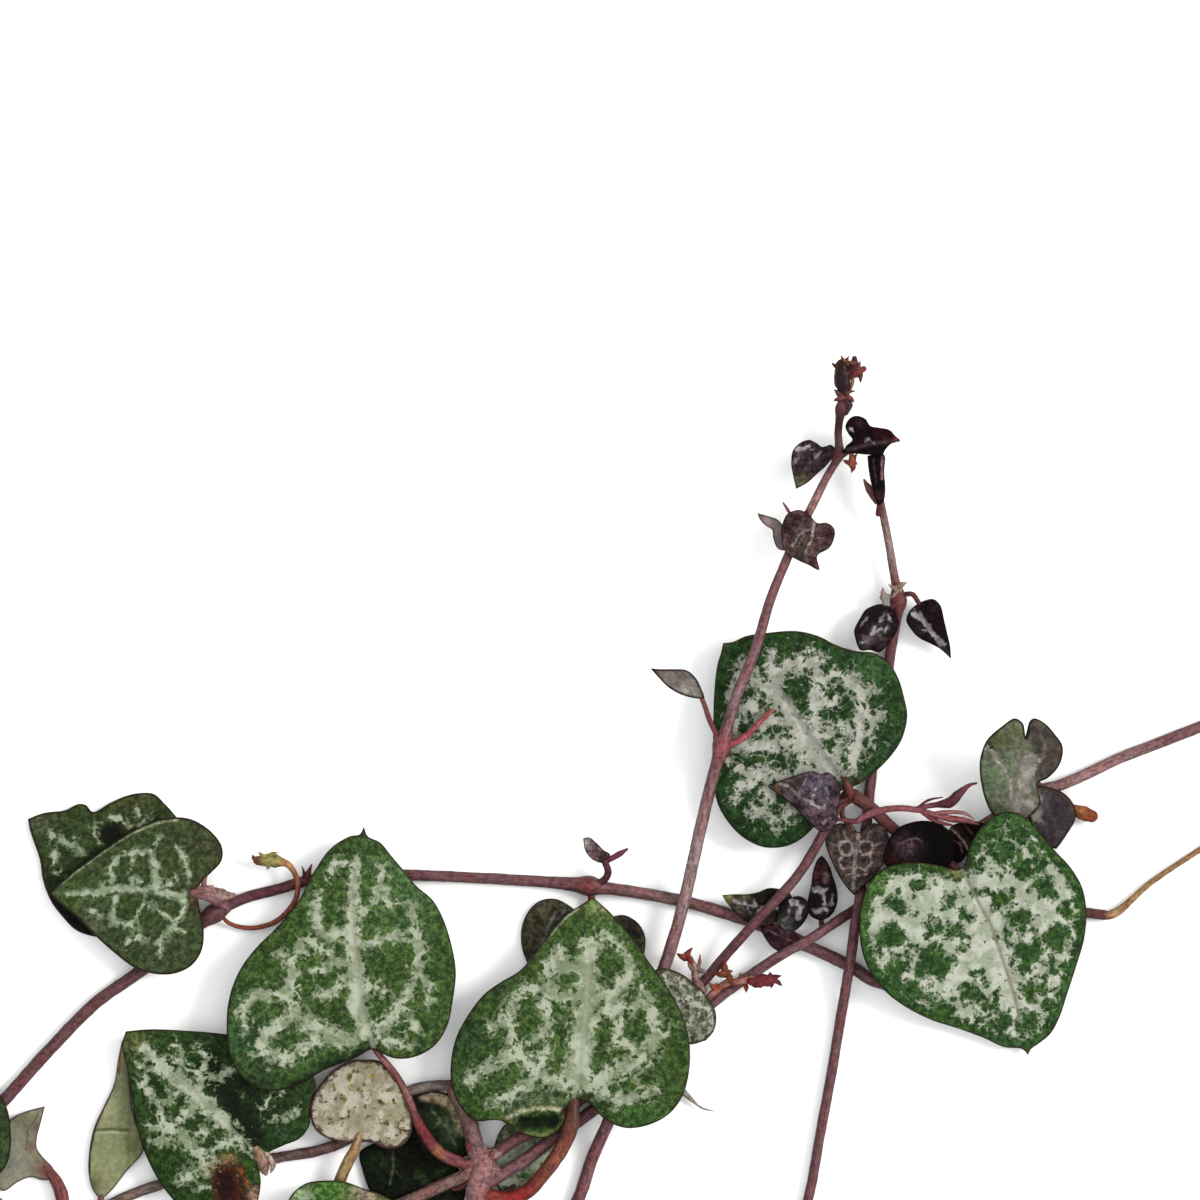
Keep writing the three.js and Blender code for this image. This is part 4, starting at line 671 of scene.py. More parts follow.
leaf("leaf_centre_large", "leaf_green", marbled_skin, base=(57.4, 109.4, 4), tip=(59.3, 89.7, 3.6),
     rise=(-0.9, 1.6), thick=THICK_LEAF, heart=(57.6, 103.5),
     outline=[(59.3, 89.7), (59.9, 90.2), (61, 91.2), (63.2, 93.7), (64.8, 96), (66.8, 98.8), (68.2, 101.4),
              (68.9, 104), (68.9, 107), (68.2, 109.6), (66.8, 111.4), (64.6, 112.5), (62.4, 112.7),
              (60.4, 111.8), (59, 110.4), (57.6, 109.9), (56.8, 110.8), (56.2, 112.6), (54.6, 113.7),
              (52.4, 113.4), (50, 112), (47.6, 112), (46.2, 110.8), (45.2, 108.6), (45.1, 106.2),
              (45.6, 103.8), (46.6, 101.8), (48.4, 99.4), (50.2, 98.1), (52, 97), (54.2, 94.4),
              (56.4, 91.6), (58, 90.5)],
     rib=[(57.4, 109.6), (58, 106), (58.7, 101), (58.9, 97.6), (59, 95.4)],
     veins=[(2.4, [(57.3, 109.8), (58.1, 105.4), (58.6, 100.8), (58.7, 97.4), (58.9, 94.8)]),
            (1.1, [(58.4, 99.8), (56.2, 99.7), (54.9, 99.3), (54.8, 97.6), (55.2, 96.4), (56.4, 96.6),
                   (58.4, 97)]), (0.6, [(56.6, 96.4), (55.9, 95)]),
            (0.7, [(54.8, 98.6), (52.6, 98.8), (51.4, 99.8), (51, 101.4)]),
            (1.1, [(57.6, 108.8), (55.8, 108.4), (54, 107.4), (52.8, 106.2), (51.4, 105), (50.9, 103.2),
                   (51, 101)]), (0.9, [(51, 105.6), (49, 106.4), (47.6, 107.4), (47, 108.2)]),
            (0.9, [(54.8, 100.4), (54.7, 102.6), (54.1, 103.6), (52.8, 104.2)]),
            (0.8, [(53.8, 107.6), (52.4, 108.6), (50.8, 109.6), (49.4, 110)]),
            (0.6, [(54.4, 103.6), (54.6, 105.4), (54, 107)]), (0.7, [(51, 102), (49.2, 102.6)]),
            (1.2, [(58.8, 99.7), (61, 99.7), (62.2, 98.6), (63, 97.2), (62.8, 96)]),
            (0.6, [(59.6, 94.6), (60.4, 93.4)]), (0.6, [(61, 93.8), (62.2, 95)]),
            (0.9, [(59, 102.4), (60.8, 100.6), (62.8, 100.8), (64.4, 100.4)]),
            (0.8, [(61.6, 101), (62, 102.6), (61.4, 104.2)]),
            (1.3, [(58, 109), (60.2, 107.8), (62, 106.9), (63.8, 106), (65.2, 104.8), (65.7, 103),
                   (65.2, 101.2)]), (0.6, [(61.6, 104), (63.2, 104.4)]),
            (0.9, [(59, 109.2), (61.8, 109.8), (64.2, 109.4), (65.4, 108.8)]),
            (0.6, [(63.6, 106.4), (64, 108.6)]), (0.5, [(65.6, 103.4), (67, 103)]),
            (0.5, [(64, 98.6), (65, 99.8)])],
     islands=[(56.1, 101.6, 0.75), (55.9, 103.7, 0.8), (58.7, 101.2, 0.12), (53.6, 111.6, 2.4),
              (52.7, 100.5, 1.1), (52.5, 103, 1.1), (60.9, 95.1, 1), (60.7, 102.1, 0.7), (60, 105.3, 1.1),
              (64.5, 108, 1)],
     tints=[(59.4, 90.6, 1.1, "#7C9058"), (60.2, 90.6, 0.5, "#B8A888"), (48, 110.6, 1.6, "#3A5A26"),
            (64, 111.4, 2.4, "#456A35"), (60.6, 109.4, 1.1, "#3C5A34"), (50, 98.8, 1.2, "#3B4E30"),
            (58.6, 110.3, 0.9, "#3A3022"), (46.6, 104, 2.4, "#365030")],
     # Among the strokes, the dark line above the fold at the foot of the left lobe and the dark pocket under
     # its pale lip are painted shade. The pale lip and the thin pale line along the upper left edge are
     # painted highlights.
     strokes=[(0.8, "#5A6A48", [(51.2, 110.5), (53.5, 109.9), (55.8, 110.1)]),
              (0.2, "#34472B", [(50.8, 109.9), (52.5, 109), (54.5, 108.75), (56.4, 109.6)]),
              (0.42, "#66703F", [(50.3, 111.9), (51, 112.8), (52.5, 113.5), (54.2, 113.6), (55.8, 113)]),
              (0.75, "#131D0B", [(52.3, 112.2), (53.6, 112.15), (55.4, 112)]),
              (0.22, "#B2B496", [(50.8, 111.7), (52.25, 111), (53.5, 110.8), (55, 110.75), (56.2, 110.95)]),
              (0.3, "#33280F", [(56.2, 111.2), (57.6, 109.9), (58.8, 110.6)]),
              (0.13, "#A3A48C", [(52.6, 96.3), (54.5, 94.1), (56.6, 91.7), (57.8, 90.8)])],
     dents=[(53.6, 112.2, 0.9, 0.9), (52.3, 112.2, 0.6, 0.5), (55.1, 112.1, 0.8, 0.7),
            (53.4, 110.1, 1.2, -0.4)],
     stalk=[(57.4, 108.8, 3.4), (57.3, 110.5, 3.6), (57, 112.9, 3.6), (55.9, 115.2, 3.2),
            (54.3, 117.4, 2.5), (52.6, 119.2, 1.9), (50.8, 119.9, 1.7), (48.8, 119.6, 1.6)],
     stalk_radius=(0.5, 0.78, 0.76, 0.74, 0.76, 0.9), stalk_light="#824A36",
     stalk_tints=[(51.8, 119.6, 2.4, "#A62C2E"), (57.2, 110.8, 2, "#573A2C"),
                  (55.9, 115.4, 1.1, "#A0664C")])

leaf("leaf_upper_large", "leaf_green", speckled_skin, color="#2C4922", net=-1.1, base=(84.4, 77.8, 3.3),
     tip=(72.3, 64.3, 2.8), rise=(-0.3, 0), thick=THICK_LEAF, heart=(80, 73.5), border=1.55,
     outline=[(72.3, 64.3), (73.2, 64.2), (74.6, 63.6), (76.6, 63.3), (79.6, 63.1), (81.8, 63.6),
              (83.6, 64.5), (85.6, 65.1), (87.4, 65.3), (88.8, 66.2), (89.8, 67.8), (90.4, 69.8),
              (90.7, 71.6), (90.2, 73.8), (89.2, 75.4), (87.8, 76.9), (86.2, 78.2), (84.9, 78.8),
              (83.9, 79.2), (82.8, 80.6), (81.6, 82.4), (80.2, 83.8), (78.6, 84.6), (76.4, 84.7),
              (74.4, 83.8), (72.8, 82.2), (71.7, 80.2), (71.3, 77.4), (71.3, 73.6), (71.4, 69.4),
              (71.7, 66.6), (72.1, 65.2)],
     rib=[(83.9, 77.8), (82, 75), (80.3, 72.6), (78.6, 69.9), (77.6, 68.6)], rib_width=0.6, groove=0.16,
     veins=[(1.6, [(83.6, 78), (81.4, 75.4), (79.8, 72.9), (78.3, 70.8), (76.8, 69), (75.4, 67.8),
                   (74.6, 67.6)]), (1.0, [(77.6, 68.4), (77.2, 66.8), (77, 65.4)]),
            (1.2, [(78, 67.2), (79.4, 66.4), (80.8, 66.4)]),
            (0.9, [(80.8, 66.6), (81.8, 66), (82.4, 65.2)]), (0.8, [(80.9, 66.4), (81, 65)]),
            (0.9, [(81.8, 75), (81.4, 72.6), (81.6, 70), (82, 68.4), (81.4, 67)]),
            (1.0, [(82, 68.2), (83.8, 67.5), (85.2, 68)]),
            (1.25, [(85, 77.2), (85.6, 74.4), (86, 71.6), (86.2, 69.6), (85.2, 68)]),
            (0.3, [(86.4, 71.4), (87.4, 72.2), (88, 71.4)]), (0.3, [(87.2, 72.6), (86.6, 75)]),
            (0.25, [(86.4, 69.2), (87.6, 68.8)]), (0.7, [(81.6, 70.4), (83.6, 70)]),
            (0.7, [(82.2, 73.4), (84, 72.8), (85.6, 73.2)]), (0.7, [(83.4, 76.2), (84, 74.4)]),
            (1.2, [(81.4, 75.4), (79.4, 74.3), (77, 74.5), (74.6, 74.6), (73, 74)]),
            (0.9, [(76.8, 74.2), (76, 72), (75.4, 70.4)]), (0.7, [(76.2, 72), (78, 72), (79.6, 73.2)]),
            (0.8, [(74, 74.4), (73.6, 72), (74.8, 70.4)]),
            (0.8, [(81, 77), (78.4, 77.8), (76.4, 77), (74.6, 77.4), (73, 76)]),
            (0.8, [(76.6, 77.4), (76.8, 79.4), (76.4, 81), (77.8, 82.4)]),
            (0.7, [(76, 77.4), (74.2, 78.6), (73.4, 80)]), (0.7, [(76.4, 81), (75, 81.2)]),
            (0.6, [(78.6, 81.2), (80, 80.6)]), (0.8, [(74.2, 66.4), (74, 68.4), (73, 69.4)])],
     islands=[(79.6, 67.6, 0.8), (79.8, 69.4, 1.0), (80.3, 71.2, 0.9), (84.3, 69.2, 1.1), (84.6, 71.2, 1.0),
              (87.4, 67, 1.9), (89.2, 69.4, 1.6), (89.2, 73.4, 2.0), (72.9, 82.6, 2.4), (76, 84.2, 1.9),
              (79.4, 83.6, 1.9), (83.9, 71.2, 0.7), (75.6, 79.6, 0.8), (77.2, 80.4, 0.7), (76, 75.8, 0.9),
              (78.2, 76.2, 0.8), (87.4, 76, 1.6), (72.6, 78.8, 1.2), (83.4, 66, 0.9), (74.6, 72.6, 0.8),
              (77, 73.2, 0.6)],
     tints=[(86.6, 67, 2.2, "#3B5E36"), (73.5, 83, 2, "#1E3A18"), (78.5, 84, 2, "#22421C"),
            (72.2, 79, 1.2, "#285024"), (89.6, 75, 1.4, "#2C4A2A"), (85.6, 78, 0.9, "#3A4030"),
            (72.3, 64.4, 0.5, "#5A4A3A")],
     dents=[(81.8, 65.2, 0.8, 0.25), (86, 66.8, 1.5, -0.3)],
     stalk=[(84, 77.3, 3.1), (84.6, 78.3, 3.25), (85, 79.4, 3), (85, 79.8, 2.4)],
     stalk_radius=(0.4, 0.5, 0.5), stalk_light="#6E3C36")

leaf("leaf_right_large", "leaf_green", silver_skin, color="#39592B", wander=0.9, base=(96.2, 87.2, 3.7),
     tip=(102.8, 105.5, 1), rise=(0.2, 1), thick=THICK_LEAF, heart=(98, 93.5), net=0.42, border=1.25,
     outline=[(102.8, 105.5), (102.2, 104.9), (100.4, 104.7), (98.4, 103.8), (96, 102.9), (93.2, 102),
              (90.6, 100.7), (88.6, 99.2), (87, 97.2), (86.1, 94.8), (85.9, 92), (86.2, 89.8), (87, 88),
              (88.2, 86.9), (89.8, 86.3), (91.8, 86.2), (94, 86.5), (95.6, 86.9), (96.4, 86.4),
              (96.7, 85.2), (97.4, 83.6), (98.6, 82.1), (100.2, 81.2), (101.8, 81.3), (103.2, 82.3),
              (104.4, 83.8), (105.6, 85.2), (107, 86.7), (108.2, 88.8), (108.6, 91.2), (108.4, 93.8),
              (107.6, 96.6), (106.7, 99.4), (105.9, 101.8), (105, 103.4), (103.8, 104.4), (103.1, 104.9)],
     rib=[(96.2, 87), (97.6, 89.8), (99.1, 92.6), (100.2, 95.8), (101.2, 98.9), (101.9, 101.4)],
     rib_width=0.36,
     islands=[(89.8, 90.3, 1.4), (89.1, 93.8, 1.6), (89.5, 96.9, 1.4), (93.2, 96.2, 2.0),
              (93.4, 92.7, 1.15), (95.1, 93, 1.0), (96.3, 93.6, 0.7), (95.1, 90, 0.95), (96.6, 91.4, 0.8),
              (92.2, 88.4, 1.0), (91.6, 91.2, 0.5), (98, 89.4, 0.65), (100.1, 89.9, 1.2),
              (99.4, 91.1, 0.65), (102, 91.7, 1.5), (100.7, 93.4, 0.95), (102.7, 95.6, 1.6),
              (104.4, 88.7, 1.25), (102.2, 86.9, 1.25), (100.6, 85.1, 1.4), (99.2, 84.8, 1.1),
              (103.8, 86, 1.2), (105.8, 94, 1.6), (105.5, 96.6, 1.05), (97.6, 97.2, 0.7), (98.2, 98, 0.55),
              (97, 99.3, 1.45), (99, 100.3, 0.95), (102.8, 99, 1.3), (104.5, 98.7, 1.0),
              (100.1, 102.2, 1.5), (102.8, 102.3, 1.5), (96.2, 94.4, 0.5), (95.9, 95.6, 0.55),
              (98, 101.7, 0.8), (91.4, 99.3, 1.7), (89.2, 98.2, 1.4), (106.6, 91, 0.9), (87.6, 88.6, 1.1),
              (91, 94.9, 0.5), (99.2, 83, 1.4), (101.6, 83.1, 1.5), (103.3, 84.3, 1.1), (98, 86.2, 0.8),
              (103.4, 93.4, 0.6), (94.2, 101, 1.6), (99.6, 87.2, 0.5), (105, 100.8, 1.0), (87.4, 95, 0.7)],
     tints=[(86.6, 93, 1.3, "#5E8240"), (87.6, 88.4, 1.2, "#55783C"), (100.4, 82, 1.4, "#3A6030"),
            (95.6, 87, 0.8, "#6A6E50"), (101, 104.6, 1.6, "#3E5E3C"), (88, 98.5, 2, "#305428"),
            (107, 100, 1.4, "#3B5F3A")],
     dents=[(96.4, 87.6, 1.6, 0.3)],
     strokes=[(0.2, "#5A5446", [(95.2, 86.6), (96.2, 86.9), (96.6, 86)]),
              # The tiny whitish stroke on the upper lobe is a painted glint.
              (0.13, "#DCE4DC", [(103.1, 83.7), (103.6, 84)])],
     stalk=[(96, 87.4, 2.8), (95.6, 86.9, 2.5), (94.8, 86.2, 2.2), (93.4, 85.5, 1.95), (91, 84.2, 1.95),
            (89, 82.6, 1.95), (87.2, 80.9, 2.05), (85.4, 79.6, 2.15)], stalk_radius=(0.45, 0.5, 0.62, 0.7),
     stalk_light="#744640", stalk_tints=[(90, 83.4, 1.9, "#4A1E22"), (93.6, 85.6, 2, "#3A1A1C")])

# The facing pair at the far left: older, duller leaves, olive with a fine broken net. The lower one
# lies on the surface, and the upper one on top of it and on the runner.
dull_skin = leaf_material("dull_leaf_skin", "#98A784", "#BFCBAE", "#2A1B14", "#A9B298", (0.44, 0.45, 0.38),
                          (1.6, 1.55, 1.5), lace=0.45, jag=0.6, roughness=0.6, crease=0.12, soft=0.5,
                          cast=0.35)
leaf("leaf_pair_upper", "leaf_dull", dull_skin, base=(19.6, 89.3, 2.6), tip=(5, 89.3, 2.3), thick=1.0,
     color="#455432", under="#8A8468", heart=(14.4, 89.3),
     outline=[(5, 89.3), (7, 87.4), (10, 85.2), (13, 83.2), (15.6, 82), (17.8, 81.7), (19.4, 82),
              (21.2, 83.2), (22.2, 84.6), (22.2, 86), (21.2, 87.2), (20.3, 88), (19.8, 89.2), (20, 90.8),
              (20.4, 92.8), (20.2, 95), (19.2, 96.5), (17.6, 97.3), (15.8, 97.4), (13.6, 96.8),
              (11.4, 95.2), (9.4, 93.4), (7.6, 91.6), (5.9, 90.2)],
     rib=[(19.8, 89.4), (17, 89.4), (14.6, 89.1), (11.6, 89.2), (8, 89.3), (5.2, 89.3)],
     veins=[(0.75,
             [(18.6, 89.7), (17, 89.4), (15.4, 88.8), (13.4, 88.9), (11.4, 88.8), (9.6, 89.3), (7, 89.3)]),
            (0.5, [(11.2, 88.8), (11.1, 86.9), (11.8, 85.6), (13.2, 85.4), (14.9, 84.9), (15.9, 83.8)]),
            (0.35, [(13.3, 85.5), (13.1, 86.8)]), (0.45, [(15.9, 88.5), (15.7, 86.4), (15.1, 85)]),
            (0.4, [(18.9, 87.9), (18.6, 86.2), (17.7, 84.6)]), (0.3, [(17.9, 85.2), (18.7, 85.6)]),
            (0.35, [(13.4, 88.6), (13.3, 87.8), (14.4, 88.3)]), (0.3, [(10.4, 88.4), (11, 87.8)]),
            (0.4, [(11.7, 89.7), (11.3, 91.2), (11.3, 92.3), (12.6, 92.5), (13.6, 92), (14.1, 90.8),
                   (14.5, 89.7)]), (0.35, [(13.3, 92.6), (13.9, 93.7), (15, 93.9)]),
            (0.3, [(13.6, 93.6), (12.8, 94.6)]),
            (0.42, [(15.9, 94.2), (17.4, 92.8), (18.2, 91.4), (18.6, 90.6)]),
            (0.3, [(16, 94.2), (16.1, 95.6)]), (0.3, [(15.2, 90.6), (16.4, 91.4), (17.6, 92.4)]),
            (0.25, [(17.6, 92.8), (18.6, 93.2)]), (0.3, [(16.6, 88.6), (17.6, 87.8)]),
            (0.2, [(9, 91), (10.2, 91.6)])],
     # Painted highlight: the thin pale stroke along the upper edge.
     strokes=[(0.13, "#98A283",
               [(5.8, 88.7), (8, 86.9), (10.6, 85), (13.3, 83.25), (15.8, 82.25), (17.8, 81.95)])],
     tints=[(7.4, 89.6, 2, "#4F6432"), (13, 90.8, 1.6, "#3B5224"), (20, 84.6, 2.6, "#4A5133"),
            (16.6, 95.6, 2.4, "#4A5539"), (9.4, 92, 1.6, "#58624E"), (19.8, 90, 1.2, "#5A4638")],
     stalk=[(19.4, 89.3, 2.5), (20.6, 89.5, 2.55), (21.6, 90, 2.3), (22.6, 90.6, 1.4)],
     stalk_radius=(0.5, 0.55, 0.5), stalk_light="#9A7074", stalk_dark="#5C3A3E",
     extra=[tube([(20, 88.9, 2.35), (21.2, 89.4, 2.3), (22.3, 89.5, 2.1), (23.3, 89.5, 1.8)],
                 [0.5, 0.78, 0.66, 0.3], "#B08E86", "#7A5654", step=0.15, wobble=0.5, skin=1),
            tube([(20.9, 87, 2.3), (20.5, 87.9, 2.35), (20.3, 89, 2.4)], [0.1, 0.24, 0.4], "#9A6A66",
                 "#6A4444", step=0.15, wobble=0.4, skin=1)])
leaf("leaf_pair_lower", "leaf_dull", dull_skin, base=(19.8, 87.6, 0.45), tip=(2.8, 81.9, 0.45), thick=0.9,
     droop=0.0, color="#3E4D2B", under="#7C7A60", heart=(11.6, 86.6), groove=0.05,
     outline=[(2.8, 81.9), (4.4, 81.3), (6.6, 81), (7.8, 80.4), (8.6, 80.5), (9.3, 81.2), (11, 80.3),
              (12.6, 79.6), (14, 79.3), (15.4, 79.4), (16.4, 80.3), (17.4, 81.4), (18.6, 83), (19.8, 85.4),
              (20, 87.6), (18.6, 90.2), (15, 92.4), (11.4, 93.7), (9.2, 93.6), (7.6, 93), (6.2, 91.6),
              (5.1, 90.1), (4.3, 88), (4, 86), (3.4, 84.2), (3, 83)],
     veins=[(0.55, [(5.2, 83.4), (6.4, 84.1), (7.6, 84.7), (8.5, 85.4)]), (0.3, [(7.4, 83.7), (7.6, 84.6)]),
            (0.3, [(5.3, 83.6), (4.7, 84.7)]), (0.45, [(11.1, 81.5), (12, 81.9), (12.9, 82.5)]),
            (0.3, [(14, 82.6), (15, 81.5)]), (0.25, [(13.7, 80.8), (13.9, 81.6)]),
            (0.3, [(5.2, 87.2), (6.1, 87)]), (0.28, [(5.4, 86.1), (5.6, 85.2)]),
            (0.35, [(9.7, 82), (9.6, 83.3), (10, 84.4)]), (0.25, [(6.6, 87.8), (6.3, 88.8)])],
     # Painted shade: the dark strokes that run along the edges of the upper leaf, where it lies over this
     # one.
     strokes=[(0.42, "#161A10", [(5.2, 89.6), (8, 87), (10.6, 85.1), (13.3, 83.3), (15.8, 82.2)]),
              (0.75, "#191B13", [(10.2, 83.6), (11.4, 83.1)]),
              (0.7, "#14170E", [(5, 90.2), (6.8, 91.9), (9.2, 93.4)])],
     tints=[(11.8, 82.8, 1.2, "#20231A"), (4, 82.2, 1.2, "#5E6446"), (13.6, 79.9, 1.6, "#565632"),
            (6, 90, 2, "#26301C"), (7, 92, 1.6, "#171A12"), (5.4, 88, 1.2, "#2C3A22")],
     stalk=[(18.6, 88.8, 0.45), (19.3, 90.6, 0.55), (20.2, 91.7, 0.7), (21.2, 91.5, 0.8)],
     stalk_radius=(0.3, 0.34, 0.34), stalk_light="#A88682", stalk_dark="#6A4A4A")

# Older leaves turned over, with their pale undersides up: one speckled olive and rimmed with
# mauve, one narrow and yellow-green, one pinkish-grey, and a speckled one beside the centre leaf.
pale_skin = leaf_material("pale_leaf_skin", "#A79E80", "#D6CFBA", "#5A3E3C", "#A59C80", (0.5, 0.48, 0.36),
                          (1.35, 1.35, 1.3), lace=0.5, jag=1.25, roughness=0.65, cast=0.3, soft=0.6,
                          rim_width=0.22)
speckle_skin = leaf_material("speckled_pale_leaf_skin", "#929182", "#C6C5BA", "#3A3026", "#A59C80",
                             (0.4, 0.42, 0.3), (1.5, 1.5, 1.4), lace=0.7, jag=1.3, roughness=0.6, cell=0.9,
                             cast=0.3, soft=0.5)
smooth_skin = leaf_material("smooth_leaf_skin", "#B8AF92", "#D6CFB8", "#5A4640", "#7C7A58",
                            (0.82, 0.82, 0.76), (1.14, 1.14, 1.1), lace=0.3, jag=0.6, roughness=0.65,
                            rim_width=0.1, cast=0.2)
leaf("leaf_speckled_round", "leaf_pale", pale_skin, base=(36, 113.6, 2), tip=(36.4, 105.9, 1.9), thick=0.8,
     color="#5C5230", under="#5A6A40", net=0.36, border=0.35, droop=0.15, heart=(36, 110.6), relief=0.13,
     outline=[(36.4, 105.9), (37.8, 106), (39, 106.8), (40, 108.4), (40.8, 110.4), (41.3, 112), (41, 113.6),
              (40.1, 114.6), (38.6, 114.8), (37, 114.2), (35, 114.3), (33, 113.9), (31.6, 113), (31, 111.4),
              (31.2, 109.8), (32.2, 108.2), (33.6, 106.8), (35.2, 106)],
     rib=[(36, 114), (36.1, 111.5), (36.4, 109.5)], groove=-0.12,
     islands=[(33.4, 108.6, 0.1), (34.4, 110, 0.14), (36.6, 107.6, 0.14), (38, 110.2, 0.1),
              (35, 111.6, 0.1), (33.6, 112, 0.14), (38.6, 112.4, 0.14), (39.6, 110, 0.1),
              (36.8, 112.8, 0.1), (32.4, 110.2, 0.1), (35.4, 107.2, 0.1)],
     tints=[(39.4, 111, 1.0, "#A39C4E"), (33, 111, 1.4, "#6E5F40"), (37, 107.4, 1.0, "#B5A552"),
            (31.8, 112.4, 0.8, "#6A4A42"), (40.4, 114, 0.7, "#7A565A"), (35, 109, 0.9, "#BFB05A"),
            (37.6, 112.8, 0.8, "#A89A50"), (34.6, 112.8, 0.8, "#9A8C48")],
     strokes=[(0.5, "#745A5E", [(32.4, 108), (31.3, 109.8), (31.2, 111.6), (32, 113), (34, 113.9),
                                (36.6, 114.1), (38.6, 114.6)]),
              (0.16, "#4C5230", [(39.6, 107.8), (40.6, 110.2), (41.1, 112), (40.9, 113.6)])],
     stalk=[(36, 112.6, 1.8), (35.6, 114.6, 2.1), (34.6, 116.6, 1.9), (33.8, 118.6, 1.3), (33, 120.8, 1),
            (32.4, 122.2, 0.8)],
     stalk_radius=(0.3, 0.6, 0.6, 0.52), stalk_light="#B59A6A", stalk_dark="#6A4C2C")
leaf("leaf_pale_narrow", "leaf_pale", smooth_skin, base=(10.2, 119, 0.4), tip=(12.2, 104, 0.4), thick=0.8,
     droop=0.0, color="#9DA079", under="#4E5C38", heart=(11.4, 114), rise=(0.2, 0.2),
     outline=[(12.2, 104), (12.9, 107), (13.3, 111), (14.4, 114.6), (14.2, 115.4), (12.6, 117.2),
              (11.2, 119), (10.2, 119.8), (9.4, 119.2), (8.9, 117.6), (8.9, 115.4), (9.4, 112.8),
              (10.4, 110.6), (11.4, 108.4), (11.8, 106)],
     rib=[(12.6, 106), (12.9, 110), (13, 112.6), (12.8, 116.4)], groove=0.08, rib_width=0.3,
     # Painted shade and highlight: the darker tint at the right, beside the edge of the lower left leaf that
     # lies over it, and the dark and pale lines across the blade at its fold.
     tints=[(12.2, 105.4, 1, "#B0A67E"), (11, 110.6, 1.4, "#B4B68E"), (9.4, 118.4, 0.9, "#6E7450"),
            (13.4, 114.6, 1.1, "#7A8358"), (10.6, 115.6, 1.3, "#A4A97C")],
     strokes=[(0.16, "#6A7048", [(9.4, 113), (11, 112.9), (12.9, 113)]),
              (0.12, "#C2C29E", [(9.6, 113.3), (11, 113.2), (12.6, 113.3)]),
              (0.14, "#3E3226", [(8.95, 117.4), (8.95, 115.4), (9.5, 112.8), (10.4, 110.7), (11.4, 108.5)]),
              (0.12, "#8A6A50", [(12, 104.4), (12, 106.2), (11.9, 107.4)])],
     stalk=[(10.3, 118.4, 0.25), (10.1, 119.8, 0.4), (9.8, 121.4, 0.55)], stalk_radius=(0.2, 0.3, 0.3),
     stalk_light="#7A4E4A")
leaf("leaf_edge_left_pink", "leaf_pale", smooth_skin, base=(3.4, 116, 0.4), tip=(4.5, 110.6, 0.4),
     thick=0.8, droop=0.0, color="#9C9A84", under="#5A5A44", heart=(1.9, 114.6), rise=(0.2, 0.2),
     outline=[(4.5, 110.6), (4.1, 112.2), (3.7, 113.8), (3.7, 114.8), (4.3, 115.7), (5.1, 116.5),
              (5.5, 117.2), (5.1, 117.9), (4.2, 118), (3.1, 117.7), (1.8, 118.2), (0.3, 119.1), (-0.6, 118),
              (-0.6, 115.6), (0.2, 113.4), (1, 112), (2.4, 111.2), (3.8, 110.8)],
     rib=[(4.2, 116.4), (2.8, 115), (2.4, 112.4)], groove=0.07, rib_width=0.3,
     tints=[(3.4, 112.6, 0.9, "#7A6660"), (1, 114, 1, "#A2A38C"), (2.2, 112, 0.9, "#7E8068"),
            (4.8, 117, 1.3, "#8A504C"), (1.4, 116.4, 1, "#96988A"), (3.2, 114.6, 0.7, "#8A7068")],
     strokes=[(0.1, "#6A6A50", [(3.9, 111.4), (2.8, 113), (2.6, 115)]),
              (0.1, "#5A4640", [(4.4, 110.8), (3.9, 113.6), (3.9, 115)])],
     stalk=[(4.1, 116.1, 0.25), (4.8, 117, 0.45), (5.5, 117.9, 0.65), (6.1, 119.2, 0.85), (6.4, 120.8, 0.8),
            (6.6, 122.8, 0.7)],
     stalk_radius=(0.24, 0.55, 0.68, 0.68, 0.6), stalk_light="#8E4A4A",
     stalk_tints=[(4.4, 116.6, 0.8, "#8E625A")])
leaf("leaf_speckled_right", "leaf_pale", speckle_skin, base=(65, 101, 3.25), tip=(70.6, 104, 2.6),
     thick=0.8, color="#55593E", under="#8A8070", heart=(68, 100.8), net=-0.05, border=0.45, relief=0.1,
     outline=[(70.6, 104), (71.4, 103), (71.6, 101.4), (70.9, 99.8), (69.7, 98.6), (68.4, 97.5), (67, 96.9),
              (65.8, 96.8), (64.6, 98.4), (64.4, 100.8), (65.6, 103), (67.6, 104.2), (69.2, 104.4)],
     islands=[(66.4, 98.4, 0.15), (67.8, 99, 0.2), (69, 100, 0.15), (68.4, 101.2, 0.25), (69.8, 101.8, 0.2),
              (70.2, 103, 0.15), (69.4, 103.2, 0.2), (67.2, 100.2, 0.15)],
     tints=[(67.4, 97.3, 0.7, "#6A5C4E"), (71, 102, 0.7, "#565E3C"), (69, 99, 0.8, "#6E7458")])

